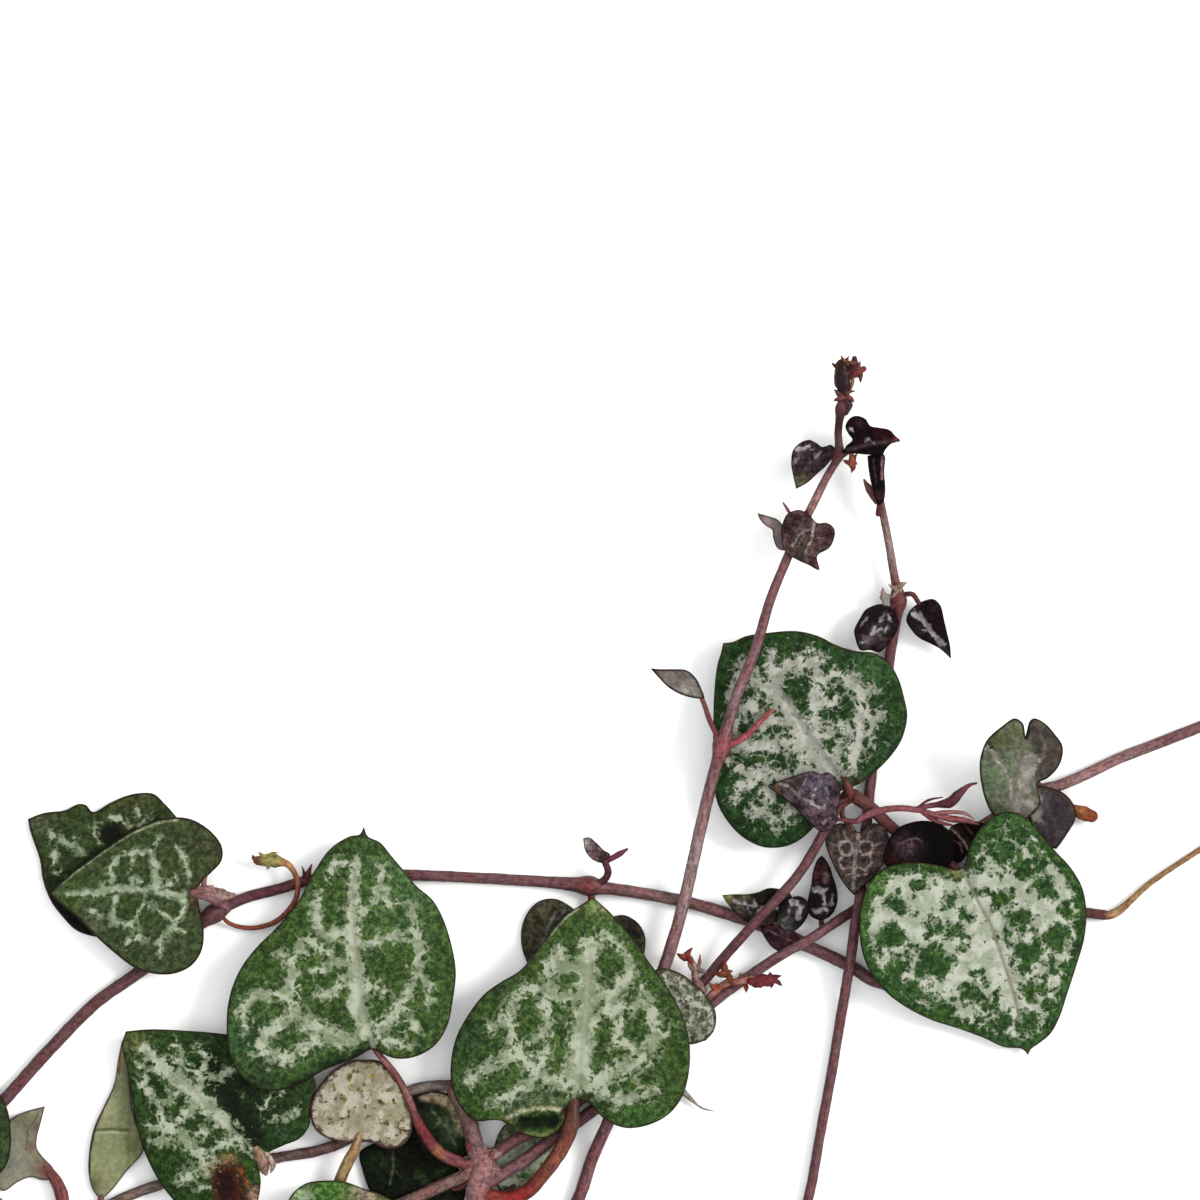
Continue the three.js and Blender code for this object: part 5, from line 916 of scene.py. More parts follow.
# The raised pale leaf at the right: an old leaf standing edge up on its stalk, olive, sage and
# grey by turns, with one lobe dark mauve. A dark mauve leaf lies under it.
raised_skin = leaf_material("raised_leaf_skin", "#8E877A", "#BDB8AE", "#241C1A", "#7C7568", (0.62, 0.6, 0.56),
                            (1.35, 1.35, 1.3), lace=0.5, jag=0.8, roughness=0.6, cell=1.2, cast=0.25)
leaf("leaf_pale_raised", "leaf_pale", raised_skin, base=(102.6, 74, 6), tip=(101.4, 82.6, 1.7),
     rise=(0.3, 0.3), thick=0.8, color="#77846A", under="#6E6A50", heart=(101.6, 77.2), border=0.4,
     outline=[(101.4, 82.6), (102.8, 81.8), (104, 80.4), (103.8, 79), (103.7, 78.3), (104.7, 77.8),
              (105.8, 76.6), (106.2, 75.3), (106.1, 74.4), (105.4, 73.4), (104.4, 72.3), (103.3, 71.8),
              (102.8, 72.2), (102.7, 73.2), (102.5, 73.8), (102.4, 73.2), (102.2, 72.3), (101.4, 71.8),
              (100.1, 72.6), (98.6, 74), (98, 75.6), (97.9, 76.8), (98.1, 78.5), (98.5, 80), (99.2, 81.4),
              (100.2, 82.2)],
     rib=[(102.5, 73.8), (101.6, 77), (101.3, 80)], groove=0.06,
     veins=[(1.5, [(102.8, 76), (102.4, 78), (101.8, 80), (101.4, 82)]),
            (1.2, [(103, 80.6), (102.2, 81.6)]),
            (0.2, [(98.8, 74.8), (100.4, 76.6), (101, 79.2), (101, 81.2)]),
            (0.16, [(99.4, 78.6), (99.8, 80.4)])],
     strokes=[(0.55, "#57504A", [(103.3, 72.6), (103.6, 74.4), (104, 76), (103.9, 77.4)]),
              (1.15, "#584D48", [(103.9, 73.2), (104.9, 74.2), (105.3, 75.4), (104.7, 76.8)]),
              (0.2, "#777064", [(103.9, 73.4), (104.4, 74.6), (104.2, 75.8)]),
              (0.13, "#D2CEC2", [(98.7, 74.6), (99.6, 76), (100.4, 76.8)]),
              (0.12, "#C9C6BC", [(101, 78), (101.1, 79.8), (101.6, 81)]),
              (0.3, "#3C3D2A", [(98.9, 74.4), (99.3, 75.3)])],
     tints=[(99.9, 73.9, 1.4, "#676A48"), (101.4, 73.2, 1, "#6E6F52"), (98.9, 78.4, 1.2, "#6E7E5C"),
            (98.8, 81, 1, "#5E6450"), (102.2, 75.8, 1, "#8B8678"), (102, 80, 1.3, "#8E877C"),
            (100, 77.4, 0.8, "#8A9A74"), (103, 81, 0.9, "#7A7470")],
     stalk=[(102.4, 75, 5), (102.9, 74.8, 4.7), (103.3, 75.4, 4), (103.1, 76.6, 2.9), (103.4, 77.8, 1.8),
            (104, 78.9, 1.2)],
     stalk_radius=(0.3, 0.38, 0.4))
leaf("leaf_mauve_right", "leaf_dark", raised_skin, base=(104.4, 79.6, 2.3), tip=(105.6, 85, 1.6), thick=0.8,
     color="#4A4046", under="#6E5A5C", heart=(105.2, 81.8), border=0.3,
     outline=[(105.6, 84.9), (106, 84.4), (107, 82.9), (107.5, 81.9), (107.4, 80.6), (106.5, 79.4),
              (104.9, 78.7), (103.6, 78.6), (103, 79.6), (102.8, 81.4), (103.4, 83.2), (104.6, 84.6)],
     veins=[(1.1, [(103.5, 79.4), (103.4, 80.6), (103.6, 82)])],
     strokes=[(0.12, "#6A4A34", [(104, 78.7), (105.8, 79.1), (107, 80.2), (107.4, 81.4)])],
     tints=[(106.6, 83.4, 0.7, "#514840"), (103.8, 80.4, 0.9, "#8A8484"), (105.8, 81, 1.2, "#3E3439"),
            (104.2, 82.6, 0.8, "#5A5356")])

# Leaves half hidden under the big ones: two dark lobes behind the centre leaf, a small green one
# between the inner runners, green, black and tan-rimmed ones at the bottom, and a dull one far left.
dark_skin = leaf_material("dark_leaf_skin", "#7C7276", "#B9B1B4", "#0E0708", "#8A8084", (0.42, 0.36, 0.38),
                          (1.8, 1.5, 1.55), lace=0.2, jag=0.45, roughness=0.55, rim_width=0.05, cell=1.2,
                          gloss=0.03, soft=0.45, cast=0.2, crease=0.1)
leaf("leaf_dark_hidden", "leaf_dark", dark_skin, base=(59.2, 91.8, 0.4), tip=(57.8, 103.6, 0.4), thick=0.8,
     droop=0.0, color="#525240", under="#5A5048", groove=0.05, heart=(58, 96),
     outline=[(57.8, 103.6), (55.4, 100.6), (53.2, 97.2), (52.2, 94.8), (52.2, 92.6), (53, 90.9),
              (54.2, 90), (55.6, 89.9), (57, 90.6), (58.2, 91.6), (59.4, 92.3), (60.8, 91.8), (62.4, 91.5),
              (63.8, 92.3), (64.5, 93.6), (64.4, 95.4), (63.6, 97.4), (61.4, 101)],
     strokes=[(0.16, "#868C80", [(55.5, 91.3), (55, 92.4), (54.5, 93)]),
              (0.1, "#6E7468", [(55.1, 92.2), (54.2, 94.4)]),
              (0.12, "#7C8278", [(56.6, 90.9), (55.8, 91.9)])],
     tints=[(63, 93, 1.6, "#2C2622"), (53.4, 92, 1.2, "#4E4E38")],
     stalk=[(59.2, 92.6, 0.5), (59.2, 91, 0.65), (59.1, 89.4, 0.8)], stalk_radius=(0.3, 0.35, 0.4))
leaf("leaf_under_runners", "leaf_green", marbled_skin, base=(51, 118.9, 0.4), tip=(53.6, 111, 0.4),
     thick=0.8, droop=0.0, color="#6E8060", heart=(52.8, 115.4), border=0.6, net=0.3,
     outline=[(53.6, 111.4), (54.6, 112.2), (55.4, 113.6), (55.6, 115.4), (55, 117.2), (53.6, 118.5),
              (52, 119.2), (50.2, 119.2), (49.3, 117.6), (49.4, 114.8), (50.2, 112.8), (51.6, 111.8)],
     islands=[(52.6, 117.6, 0.8), (51, 113.2, 0.7), (54, 115, 0.6)],
     tints=[(50.6, 113, 1.4, "#7C8A6C"), (53, 117.2, 1.3, "#4A7436")],
     stalk=[(51.4, 118.6, 0.5), (50.6, 119.2, 0.8), (49.2, 119.6, 1.2)], stalk_radius=(0.3, 0.3))
leaf("leaf_tan_rim", "leaf_dull", dull_skin, base=(46.6, 112.6, 0.4), tip=(43, 113.6, 0.4), thick=0.8,
     droop=0.0, color="#2B3722", heart=(44.4, 112.8), fine=0.15, groove=0.05,
     outline=[(40.9, 109.9), (42.2, 109.3), (43.6, 109.1), (45, 109.5), (46, 110.4), (46.7, 112), (47, 114),
              (47, 115.3), (45.8, 115.8), (43.6, 115), (42, 113.5), (40.9, 111.6)],
     strokes=[(0.68, "#B9A98C",
               [(42.6, 109.4), (43.9, 109.6), (45.1, 110.3), (45.9, 111.5), (46.3, 112.9)]),
              (0.16, "#5E6A50", [(43.2, 111), (44.6, 112.6), (45.6, 114.6)]),
              (0.12, "#6A7658", [(43.4, 112.8), (44.2, 111.8)])],
     tints=[(42, 110.4, 0.9, "#151C10"), (45.4, 113.4, 0.9, "#4A5A3E"), (43.6, 113.6, 0.9, "#1A2414"),
            (44.6, 112.2, 0.5, "#5A684C")],
     stalk=[(45.6, 112.4, 0.2), (46, 111.4, 0.5), (46, 110.6, 0.9)], stalk_radius=(0.25, 0.3))
leaf("leaf_bottom_dark", "leaf_dark", dark_skin, base=(45.2, 118.9, 0.4), tip=(40.6, 124.6, 0.4), thick=0.8,
     droop=0.0, color="#182014", under="#4A4438", heart=(41, 118.6), groove=0.05,
     outline=[(40.6, 124.6), (39, 122.8), (37.4, 120), (36.3, 117.2), (36, 115.2), (37.6, 114.2),
              (39.8, 112.8), (41.8, 112), (43.4, 113.6), (43.8, 115.3), (45.3, 116.4), (46.4, 117.6),
              (46.5, 119.6), (45.8, 121.6), (44, 123.4), (42.2, 124.4)],
     strokes=[(0.12, "#4C5446", [(39.3, 115.2), (39.3, 116.8), (39, 118.4)]),
              (0.07, "#3A4234", [(39.3, 116.8), (40.4, 118)]),
              (0.5, "#2E3A20", [(41.8, 117.6), (43.2, 118.8)])],
     tints=[(41, 116.6, 1.6, "#10160C"), (44.4, 117.2, 1, "#2C3A22"), (38, 116.2, 0.9, "#26321C")],
     stalk=[(44.8, 119, 0.2), (46.2, 118.6, 0.9), (47.2, 117.8, 1.3)], stalk_radius=(0.3, 0.35))
leaf("leaf_bottom_green", "leaf_green", marbled_skin, base=(38.8, 122.6, 3), tip=(28.2, 129, 2.2),
     thick=0.8, color="#53743A", heart=(33.6, 122.8),
     outline=[(28.2, 129), (27.6, 127.4), (27.6, 124.6), (28.2, 121.8), (29.2, 119.4), (30.6, 118.3),
              (32.4, 118), (34.4, 118.1), (36.4, 118.8), (38.6, 119.6), (40.2, 120.8), (40, 122),
              (39.2, 122.6), (40, 123.6), (40, 125), (38.6, 126.6), (36.4, 127.6), (34, 128),
              (31.6, 128.4)],
     rib=[(39, 122.6), (35.6, 124.4), (32, 126.6)],
     veins=[(0.9, [(39, 122.6), (35.6, 124.2), (32, 126.4)]),
            (0.7, [(36.6, 123.6), (34, 121.6), (31.6, 121)]), (0.6, [(30.4, 119.4), (29.8, 121)]),
            (0.6, [(34.6, 124.6), (31.4, 123.6)])],
     tints=[(30, 119.6, 1.1, "#A3B890"), (36.5, 119.4, 1.6, "#A08A7A"), (33, 119, 1.6, "#57803C"),
            (39.6, 120.8, 0.8, "#8F7A6C")],
     stalk=[(38, 122.8, 2.7), (39, 122.4, 2.9), (39.8, 121.9, 2.75), (40.2, 121, 2.2)],
     stalk_radius=(0.35, 0.35))
leaf("leaf_edge_left_dark", "leaf_dull", dull_skin, base=(-0.6, 111.6, 1.9), tip=(-9, 112.4, 1.7),
     thick=0.8, color="#3A4C2C", heart=(-3, 113),
     outline=[(-9, 112.4), (-7.4, 110.4), (-5.4, 109), (-3.4, 108.2), (-1.4, 108.3), (0, 109.4), (0.8, 111),
              (1.1, 112.8), (1.1, 114.8), (0.6, 116.6), (-0.6, 117.8), (-2.2, 118.2), (-4.2, 117.4),
              (-6, 115.8), (-7.8, 113.8)],
     rib=[(-0.6, 111.8), (-4, 112.4), (-8, 112.4)],
     veins=[(0.6, [(-0.6, 111.8), (-4, 112.4), (-8, 112.4)]), (0.5, [(-2, 112), (-3.4, 110)]),
            (0.5, [(-2, 112.2), (-3.6, 115.6)]), (0.4, [(-5, 112.4), (-6, 110.8)]),
            (0.4, [(-5, 112.4), (-6, 114.4)])],
     stalk=[(-0.4, 111.8, 1.9), (-0.9, 111, 1.6), (-1.3, 111.4, 0.9)], stalk_radius=(0.35, 0.35))

# The young leaves, nearly black, that stand in pairs along the crossing of the runners and near
# their tips: thin, waxy hearts, purple underneath, with silver blotches or a pale midrib.
SMALL_LEAF = 0.6


def young_leaf(node, outline, base, tip, stalk=None, stalk_light="#62302F", color="#2C1E22", skin=dark_skin,
               **details):
    leaf(node, "leaf_dark", skin, stalk=stalk, stalk_radius=(0.24, 0.28), stalk_light=stalk_light,
         thick=SMALL_LEAF, fine=0.11, border=0.12, droop=0.06, outline=outline, base=base, tip=tip,
         color=color, under="#4E343A", **details)


young_leaf("leaf_purple", [(76.7, 78.6), (77.8, 78.1), (79, 77.7), (80.2, 77.3), (81.3, 77.1), (82, 77.4),
           (82.8, 77.2), (83.7, 78), (84, 79), (84, 80), (83.7, 81), (83.7, 82), (83.2, 82.8), (82.3, 83.2),
           (81.4, 82.7), (80.7, 82), (79.7, 81), (78.7, 80), (77.7, 79.3)], (83, 80, 4.4),
           (76.7, 78.6, 4.2), [(82.6, 80, 3.9), (83.8, 80.2, 3.8), (84.7, 79.9, 3)], color="#5E5056",
           heart=(81.6, 79.8), rise=(0.2, 0.2), rib=[(83, 80.9), (81.2, 80.3), (79.6, 79.3), (77.8, 78.5)],
           groove=0.05,
           veins=[(0.35, [(82.2, 80.9), (81.2, 80.3), (79.8, 79.4), (78.6, 78.6), (78, 78.4)]),
                  (0.3, [(81, 80.2), (81.3, 79.1), (82.2, 78.1)]),
                  (0.22, [(80, 79.8), (80, 78.8), (80.6, 78)]),
                  (0.22, [(82.4, 80.8), (82.8, 79.6), (82.6, 78.6)]), (0.25, [(82.3, 82.3), (82.9, 81.6)])],
           tints=[(82.4, 82.3, 0.9, "#45283A"), (83.6, 79.2, 0.7, "#241A1C"), (81.6, 78.4, 1.1, "#5F5968"),
                  (77.6, 78.8, 0.9, "#54442F"), (79.6, 80.6, 0.8, "#3A2A2C"), (79.2, 78.4, 0.8, "#57483E")])
young_leaf("leaf_netted", [(85.4, 89.5), (84.7, 88.8), (84, 87.8), (83.3, 86.5), (82.8, 85.3), (82.5, 84.2),
           (82.6, 83.2), (83.2, 82.6), (84, 82.3), (85, 82.5), (85.8, 83.2), (86.7, 82.5), (87.7, 82.3),
           (88.5, 82.8), (88.9, 83.8), (88.8, 85), (88.3, 86.3), (87.5, 87.5), (86.5, 88.5)],
           (85.7, 83.6, 2.4), (85.4, 89.5, 2.9),
           [(85.7, 84, 1.9), (85.2, 82.8, 2.2), (84.2, 81.6, 2.3), (84.3, 80.2, 2.1)], color="#50433E",
           rib=[(85.8, 83.6), (85.5, 86.4), (85.3, 88.8)], heart=(85.7, 85.6), rise=(0.15, 0.15),
           strokes=[(0.19, "#8E8880", [(85.8, 83.4), (85.5, 86), (85.3, 88.8)]),
                    (0.15, "#9A9590", [(83.9, 84.8), (84.1, 84.2), (84.7, 84.05), (85.2, 84.4), (85.3, 85),
                                       (84.9, 85.5), (84.3, 85.5), (83.9, 84.8)]),
                    (0.15, "#9A9590", [(85.8, 84.8), (86, 84.2), (86.6, 84), (87.2, 84.3), (87.3, 84.9),
                                       (86.9, 85.4), (86.2, 85.4), (85.8, 84.8)]),
                    (0.13, "#8A847E", [(84.3, 85.6), (83.8, 86.1), (84.2, 86.9), (85.3, 86.6)]),
                    (0.13, "#8A847E", [(86.9, 85.4), (87.2, 86.2), (86.5, 87), (85.5, 86.6)]),
                    (0.12, "#8A847E", [(85.4, 87.2), (84.5, 87.6)]),
                    (0.12, "#8A847E", [(85.4, 87.6), (86.6, 87.4)]),
                    (0.11, "#7E7772", [(83.9, 84.6), (83.1, 84.3)]),
                    (0.11, "#7E7772", [(87.3, 84.6), (88.2, 84.2)]),
                    (0.11, "#7E7772", [(84.7, 84), (84.4, 83.2)]),
                    (0.11, "#7E7772", [(86.6, 83.9), (87, 83.1)])],
           tints=[(88, 84, 0.8, "#463A3E"), (84.5, 84.8, 0.4, "#3A3026"), (86.5, 84.7, 0.4, "#3A2C26"),
                  (86.4, 86.2, 0.4, "#46303A"), (84.4, 86.2, 0.4, "#403434"), (85.2, 88.6, 0.8, "#565248"),
                  (83.4, 84, 0.6, "#5C5048")])
young_leaf("leaf_black", [(88.8, 83.9), (89.9, 82.7), (91.6, 82.1), (93, 82.1), (94.4, 82.6), (95.2, 83.6),
           (95.4, 85), (95, 86.3), (93.6, 87.2), (91.4, 87.2), (89.2, 87), (88.3, 86)], (90, 84.4, 3),
           (94.6, 85.2, 3), [(90.6, 84.4, 2.65), (89.9, 83.6, 2.6), (89, 82.6, 2.3)], color="#080506",
           rise=(0.1, 0.1),
           tints=[(90.7, 84.8, 1.3, "#4A3A42"), (89.1, 86, 0.8, "#33161A"), (91.4, 83.4, 0.6, "#120C0E")],
           strokes=[(0.1, "#5E5258", [(89.9, 84.4), (90.6, 84), (91.6, 83.8), (92.2, 84.1)]),
                    (0.08, "#4A4046", [(91.2, 84), (91, 84.9), (91.3, 85.6)]),
                    (0.07, "#3E353A", [(90.4, 84.2), (90.5, 85.2)])])
young_leaf("leaf_leaflet", [(98.6, 82.4), (97.6, 82.1), (96.3, 82.2), (95.1, 82.6), (94.7, 83.6),
           (94.6, 84.9), (94.9, 86), (95.8, 86.3), (96.7, 85.4), (97.2, 84.2), (97.8, 83.2)],
           (95.9, 84.6, 2), (98, 82.2, 2.1), None, color="#1C120D",
           tints=[(95.6, 83, 0.5, "#4A3228"), (96.6, 84.2, 0.5, "#3E2C22"), (95.2, 85.4, 0.5, "#2A1C1C")],
           strokes=[(0.11, "#8A7F78", [(94.9, 82.7), (95.7, 83.4), (96.4, 84.2), (96.9, 85.2)]),
                    (0.08, "#6E625C", [(95.3, 84), (96, 84.4), (96.2, 85.2)]),
                    (0.07, "#6A5048", [(96.4, 82.4), (97.2, 83.4)])])
young_leaf("leaf_centre_dark", [(72.2, 89.5), (73.3, 89.4), (74.7, 89.4), (75.8, 89.2), (76.8, 88.8),
           (78, 88.9), (79, 89.3), (79.2, 90.4), (78.6, 91.4), (77.4, 92.3), (76, 92.7), (74.7, 92.2),
           (73.5, 91.2), (72.7, 90.3)], (78.4, 90.9, 1.8), (72.2, 89.5, 1.8),
           [(77.6, 90.9, 1.4), (78.7, 91.9, 1.5), (78.9, 92.9, 1.5)], color="#2A2720", heart=(76.2, 90.6),
           rise=(0.15, 0.15), rib=[(78.4, 90.8), (75.4, 90.6), (72.8, 89.8)],
           veins=[(0.25, [(78, 90.8), (76, 90.7), (74.4, 90.4), (73.4, 90)]),
                  (0.22, [(76.4, 90.7), (75.4, 91.5), (75, 92)]), (0.22, [(75.6, 90.6), (75.4, 89.8)]),
                  (0.3, [(74.4, 90.2), (75, 91.2)]), (0.2, [(77.2, 90.4), (77.4, 89.6)])],
           tints=[(72.7, 89.7, 0.7, "#8A8A4A"), (74.4, 89.5, 0.5, "#6E6E44"), (73.8, 90.6, 0.8, "#5E564A"),
                  (75.6, 91.8, 0.8, "#40383A"), (77.6, 89.6, 1.1, "#1E1516")],
           extra=[blade([(80.2, 94.2), (79.5, 95), (78.3, 95.3), (77.2, 94.7), (76.5, 93.8), (76.1, 92.8),
                         (77.2, 92.4), (78.4, 92.5), (79.4, 93.1)], (79.8, 94.2, 1.9), (76.2, 92.8, 2.1),
                        SMALL_LEAF, fine=0.16, droop=0.06, color="#3C242B", under="#4E343A", border=0.15,
                        strokes=[(0.1, "#6A4E54", [(79.6, 94.2), (78.2, 93.7), (76.8, 93)])],
                        tints=[(78.6, 93.2, 0.5, "#58444A"), (77, 93.6, 0.5, "#2E1A20")])])
young_leaf("leaf_silver_low", [(79, 89.7), (80, 89.6), (80.8, 90.2), (80.9, 91.1), (80.4, 92.2),
           (79.4, 93.1), (78.2, 93.2), (77.6, 92.2), (77.8, 91), (78.3, 90.2)], (79.4, 92.6, 2),
           (79.8, 90, 2.1), None, color="#262022",
           veins=[(0.75, [(79.4, 90.3), (80, 90.6)]), (0.5, [(80, 91.2), (79.7, 91.8)]),
                  (0.3, [(78.8, 91.2), (78.5, 92)])],
           tints=[(78.5, 92.4, 0.7, "#5A6058"), (79.2, 91, 0.4, "#4A5246")])
young_leaf("leaf_silver_high", [(82.2, 85.5), (82.9, 86.5), (83.3, 87.7), (83.7, 89), (83.7, 90.3),
           (83.2, 91.4), (82.2, 92), (81.2, 91.7), (80.7, 90.9), (80.8, 89.8), (81.1, 88.5), (81.3, 87.1),
           (81.7, 86)], (82, 91.2, 1.6), (82.3, 85.9, 1.7),
           [(82, 91, 1.1), (82.1, 92, 1.05), (82.2, 92.8, 1)], color="#1F171B", heart=(82.2, 89.4),
           rise=(0.12, 0.12),
           veins=[(0.9, [(81.8, 89), (82.4, 89)]), (0.45, [(83.2, 89.6), (83.1, 90.4)]),
                  (0.6, [(81.6, 91.1), (82.6, 91)]), (0.3, [(82.7, 87.3), (82.8, 87.8)]),
                  (0.25, [(82.2, 89.6), (82.4, 90.4)])],
           tints=[(81.8, 87.2, 0.9, "#4A2C30"), (82.5, 86.6, 0.4, "#5A3A38"), (82.6, 88, 0.3, "#6A5850")])
young_leaf("leaf_tip_left", [(79.6, 48.9), (79.3, 47.6), (79.1, 46.3), (79.3, 45), (80, 44.3), (80.9, 44),
           (81.6, 44.3), (82.2, 44.7), (83.1, 44.5), (83.5, 45), (83.3, 45.7), (82.5, 46.7), (81.7, 47.4),
           (80.7, 48.3)], (82.8, 45.4, 3), (79.6, 48.9, 2.4),
           [(82.4, 45.6, 2.6), (83, 45.6, 2.7), (83.6, 45.8, 2.8)], color="#403034", heart=(81, 46),
           rise=(0.15, 0.15), rib=[(82.8, 45.4), (81, 46.4), (79.8, 48.2)],
           veins=[(0.6, [(79.9, 44.9), (80.9, 44.5)]), (0.25, [(79.5, 46.4), (79.9, 45.6)]),
                  (0.22, [(81.2, 44.8), (81.4, 45.6)]), (0.2, [(82, 45.4), (81, 46.2), (80.4, 47)])],
           tints=[(80, 48, 0.7, "#6A6A4C"), (80.4, 46.8, 0.7, "#3E3038"), (82.6, 45.6, 0.8, "#231518"),
                  (80.2, 45.6, 0.5, "#4C4448")])
young_leaf("leaf_tip_right", [(84.2, 45.3), (84.6, 44.6), (85.2, 44), (84.8, 43.4), (84.5, 42.7),
           (84.9, 41.9), (85.6, 41.6), (86.5, 41.9), (87, 42.6), (88, 42.8), (88.9, 43), (89.5, 43.6),
           (90, 44.1), (89.1, 44.4), (88.5, 45), (88.2, 45.5), (87, 45.5), (85.7, 45.4)], (84.9, 45, 3.6),
           (90, 44.1, 3.6), [(85.2, 45, 3.1), (84.6, 45.3, 3.1), (83.9, 45.8, 3)], color="#180A0E",
           heart=(86.4, 44.1), rise=(0.1, 0.15), rib=[(84.8, 45), (87, 44.4), (89.4, 44.1)],
           veins=[(0.26, [(84.9, 42.9), (85.2, 43.3)]), (0.22, [(86.7, 44.1), (87.4, 44.3)])],
           tints=[(89.7, 44.1, 0.5, "#7A3A32"), (88.4, 43.6, 0.8, "#341418"), (85.8, 42.4, 0.5, "#2E2226")],
           strokes=[(0.07, "#5A3A3C", [(85.4, 44.9), (87, 44.4), (88.8, 44.2)])])
young_leaf("leaf_upper_middle", [(78.3, 52.1), (78.7, 51.4), (79.9, 51), (80.9, 51.5), (81.7, 52.3),
           (82.7, 52.3), (83.4, 52.9), (83.4, 53.8), (82.9, 54.8), (81.7, 55.6), (81.9, 57), (80.8, 56.5),
           (79.7, 56), (78.5, 55.2), (78.1, 53.8), (78.1, 52.9)], (81, 52.6, 4), (81.9, 57, 3.8),
           [(81, 53, 3.55), (80.7, 51.9, 3.4), (80.6, 51.3, 3)], color="#5E4C4A", heart=(80.6, 53.8),
           rise=(0.15, 0.1),
           strokes=[(0.15, "#9A9490", [(81.4, 52.3), (81.1, 54), (80.5, 55.4)]),
                    (0.12, "#8A8480", [(81.2, 52.8), (79.9, 53.5), (79.2, 54.6)]),
                    (0.09, "#6E645E", [(80.4, 53.4), (79.8, 54.6)]),
                    (0.09, "#6E645E", [(81.1, 53.8), (82.4, 53.8)])],
           tints=[(82.7, 53.6, 0.9, "#4E303C"), (81.7, 56.3, 0.6, "#6A4244"), (78.6, 52.6, 0.8, "#3E2E2E"),
                  (80, 54.6, 0.8, "#4C473C"), (79.6, 51.8, 0.6, "#3A2C2E")])
young_leaf("leaf_upper_edge", [(75.7, 51.3), (76.8, 51.6), (77.8, 52), (78.4, 52.8), (78.6, 54), (78.6, 55),
           (77.8, 54.9), (77.3, 53.8), (77.2, 53), (76.6, 52.6), (76, 52)], (78.3, 54.4, 2.4),
           (75.7, 51.3, 2.4), None, color="#A58E8A", skin=smooth_skin, heart=(77.8, 53.2),
           tints=[(75.9, 51.4, 0.4, "#6A5A48"), (77.8, 54.2, 0.7, "#8A8088"), (76.9, 52.2, 0.4, "#C0AAA0")],
           extra=[tube([(78.3, 50.3, 2.9), (78.7, 50.9, 3.3), (79.1, 51.6, 3.5)], [0.08, 0.16, 0.16],
                       "#A05A64", "#5A3A3E", step=0.15, sides=10, skin=1)])
young_leaf("leaf_folded", [(86.7, 45.6), (87.6, 45.4), (88.4, 45.5), (88.4, 47.2), (88.5, 49.1),
           (88.3, 50.2), (87.8, 50.5), (87.4, 49.5), (87, 48), (86.8, 46.7)], (87.9, 50, 3.2),
           (87.5, 45.6, 3.3), [(87.9, 49.4, 2.9), (87.9, 50.4, 2.6), (87.8, 51.4, 2.2)], color="#140A0D",
           strokes=[(0.14, "#8A6A6C", [(88.2, 45.7), (88.15, 47.9)]),
                    (0.08, "#4A3236", [(87.3, 46), (87.6, 48.4)])],
           tints=[(88, 49.6, 0.5, "#4A2A2C")])
young_leaf("leaf_knuckle_left", [(87.2, 60.6), (88, 60.4), (88.8, 60.6), (89.6, 61.4), (89.9, 62.1),
           (89.6, 63.3), (88.9, 64.2), (88, 65.2), (87, 65), (86, 65), (85.5, 63.8), (85.4, 63), (86, 61.8),
           (86.5, 61)], (88.6, 61.2, 2.2), (86.6, 65, 2),
           [(88.4, 61.6, 1.75), (89.1, 60.8, 1.9), (89.7, 60.2, 1.6)], color="#241A1E", heart=(87.7, 62.8),
           rise=(0.15, 0.15), rib=[(88.6, 61.2), (87.4, 63.2), (86.4, 64.8)],
           veins=[(0.35, [(87.2, 63.4), (88, 63)]), (0.22, [(88.5, 63.2), (88.8, 62.6)]),
                  (0.3, [(86.2, 64.3), (86.6, 64.1)]), (0.2, [(88.8, 61.4), (89.2, 62.2)]),
                  (0.2, [(88.3, 61.4), (87.5, 62.4), (87.2, 63.2)]), (0.2, [(86.6, 61.8), (86.2, 62.6)])],
           tints=[(87.8, 63.6, 0.8, "#544C4A"), (86.5, 64, 0.5, "#6E666A"), (88.6, 62.4, 0.4, "#3E3436")])
young_leaf("leaf_knuckle_right", [(95.1, 65.9), (94, 64.9), (93.1, 64.4), (91.9, 63.8), (91.2, 63.1),
           (90.6, 62), (91, 61), (91.9, 60.3), (92.6, 60), (93.3, 59.9), (94, 60.5), (94.4, 62),
           (94.7, 63.3), (95, 64.6)], (92, 60.8, 1.6), (95.1, 65.9, 1.4),
           [(92.4, 61.2, 1.2), (91.8, 60.2, 1.5), (91.2, 59.4, 1.7), (90.4, 59.5, 1.5), (89.8, 60, 1.3)],
           color="#1E1216", heart=(92.7, 62.2), rise=(0.3, 0.3),
           rib=[(92, 61.4), (93.1, 63.1), (94.8, 65.4)],
           veins=[(0.55, [(91.9, 61.4), (93.1, 63.1), (94.1, 64.4)]), (0.5, [(91.4, 61.4), (91.9, 61.9)]),
                  (0.2, [(93, 63), (92.2, 63)])],
           tints=[(93.6, 60.8, 0.8, "#2E1C24"), (91.8, 63, 0.7, "#2A2426")])
young_leaf("leaf_edge_on", [(65, 66.8), (66, 66.9), (67.4, 66.9), (68.6, 67), (69.5, 67.7), (70.1, 68.8),
           (70.4, 69.8), (69.4, 69.8), (68, 69.4), (66.8, 68.7), (65.8, 67.7)], (69.6, 69, 4.7),
           (65, 66.8, 4.6),
           [(69.9, 69.2, 4.3), (70.4, 70.4, 4.6), (70.8, 71.6, 4.7), (71.3, 72.8, 4.7), (72, 74.1, 4.5)],
           color="#8E8480", skin=raised_skin, rib=[(69.8, 69), (68, 68), (66, 67.2)], stalk_light="#8E4A4E",
           tints=[(68, 67.2, 0.8, "#7A6E6A"), (68.6, 69, 0.7, "#B0A8A0"), (65.6, 67, 0.6, "#6A4A4A")])

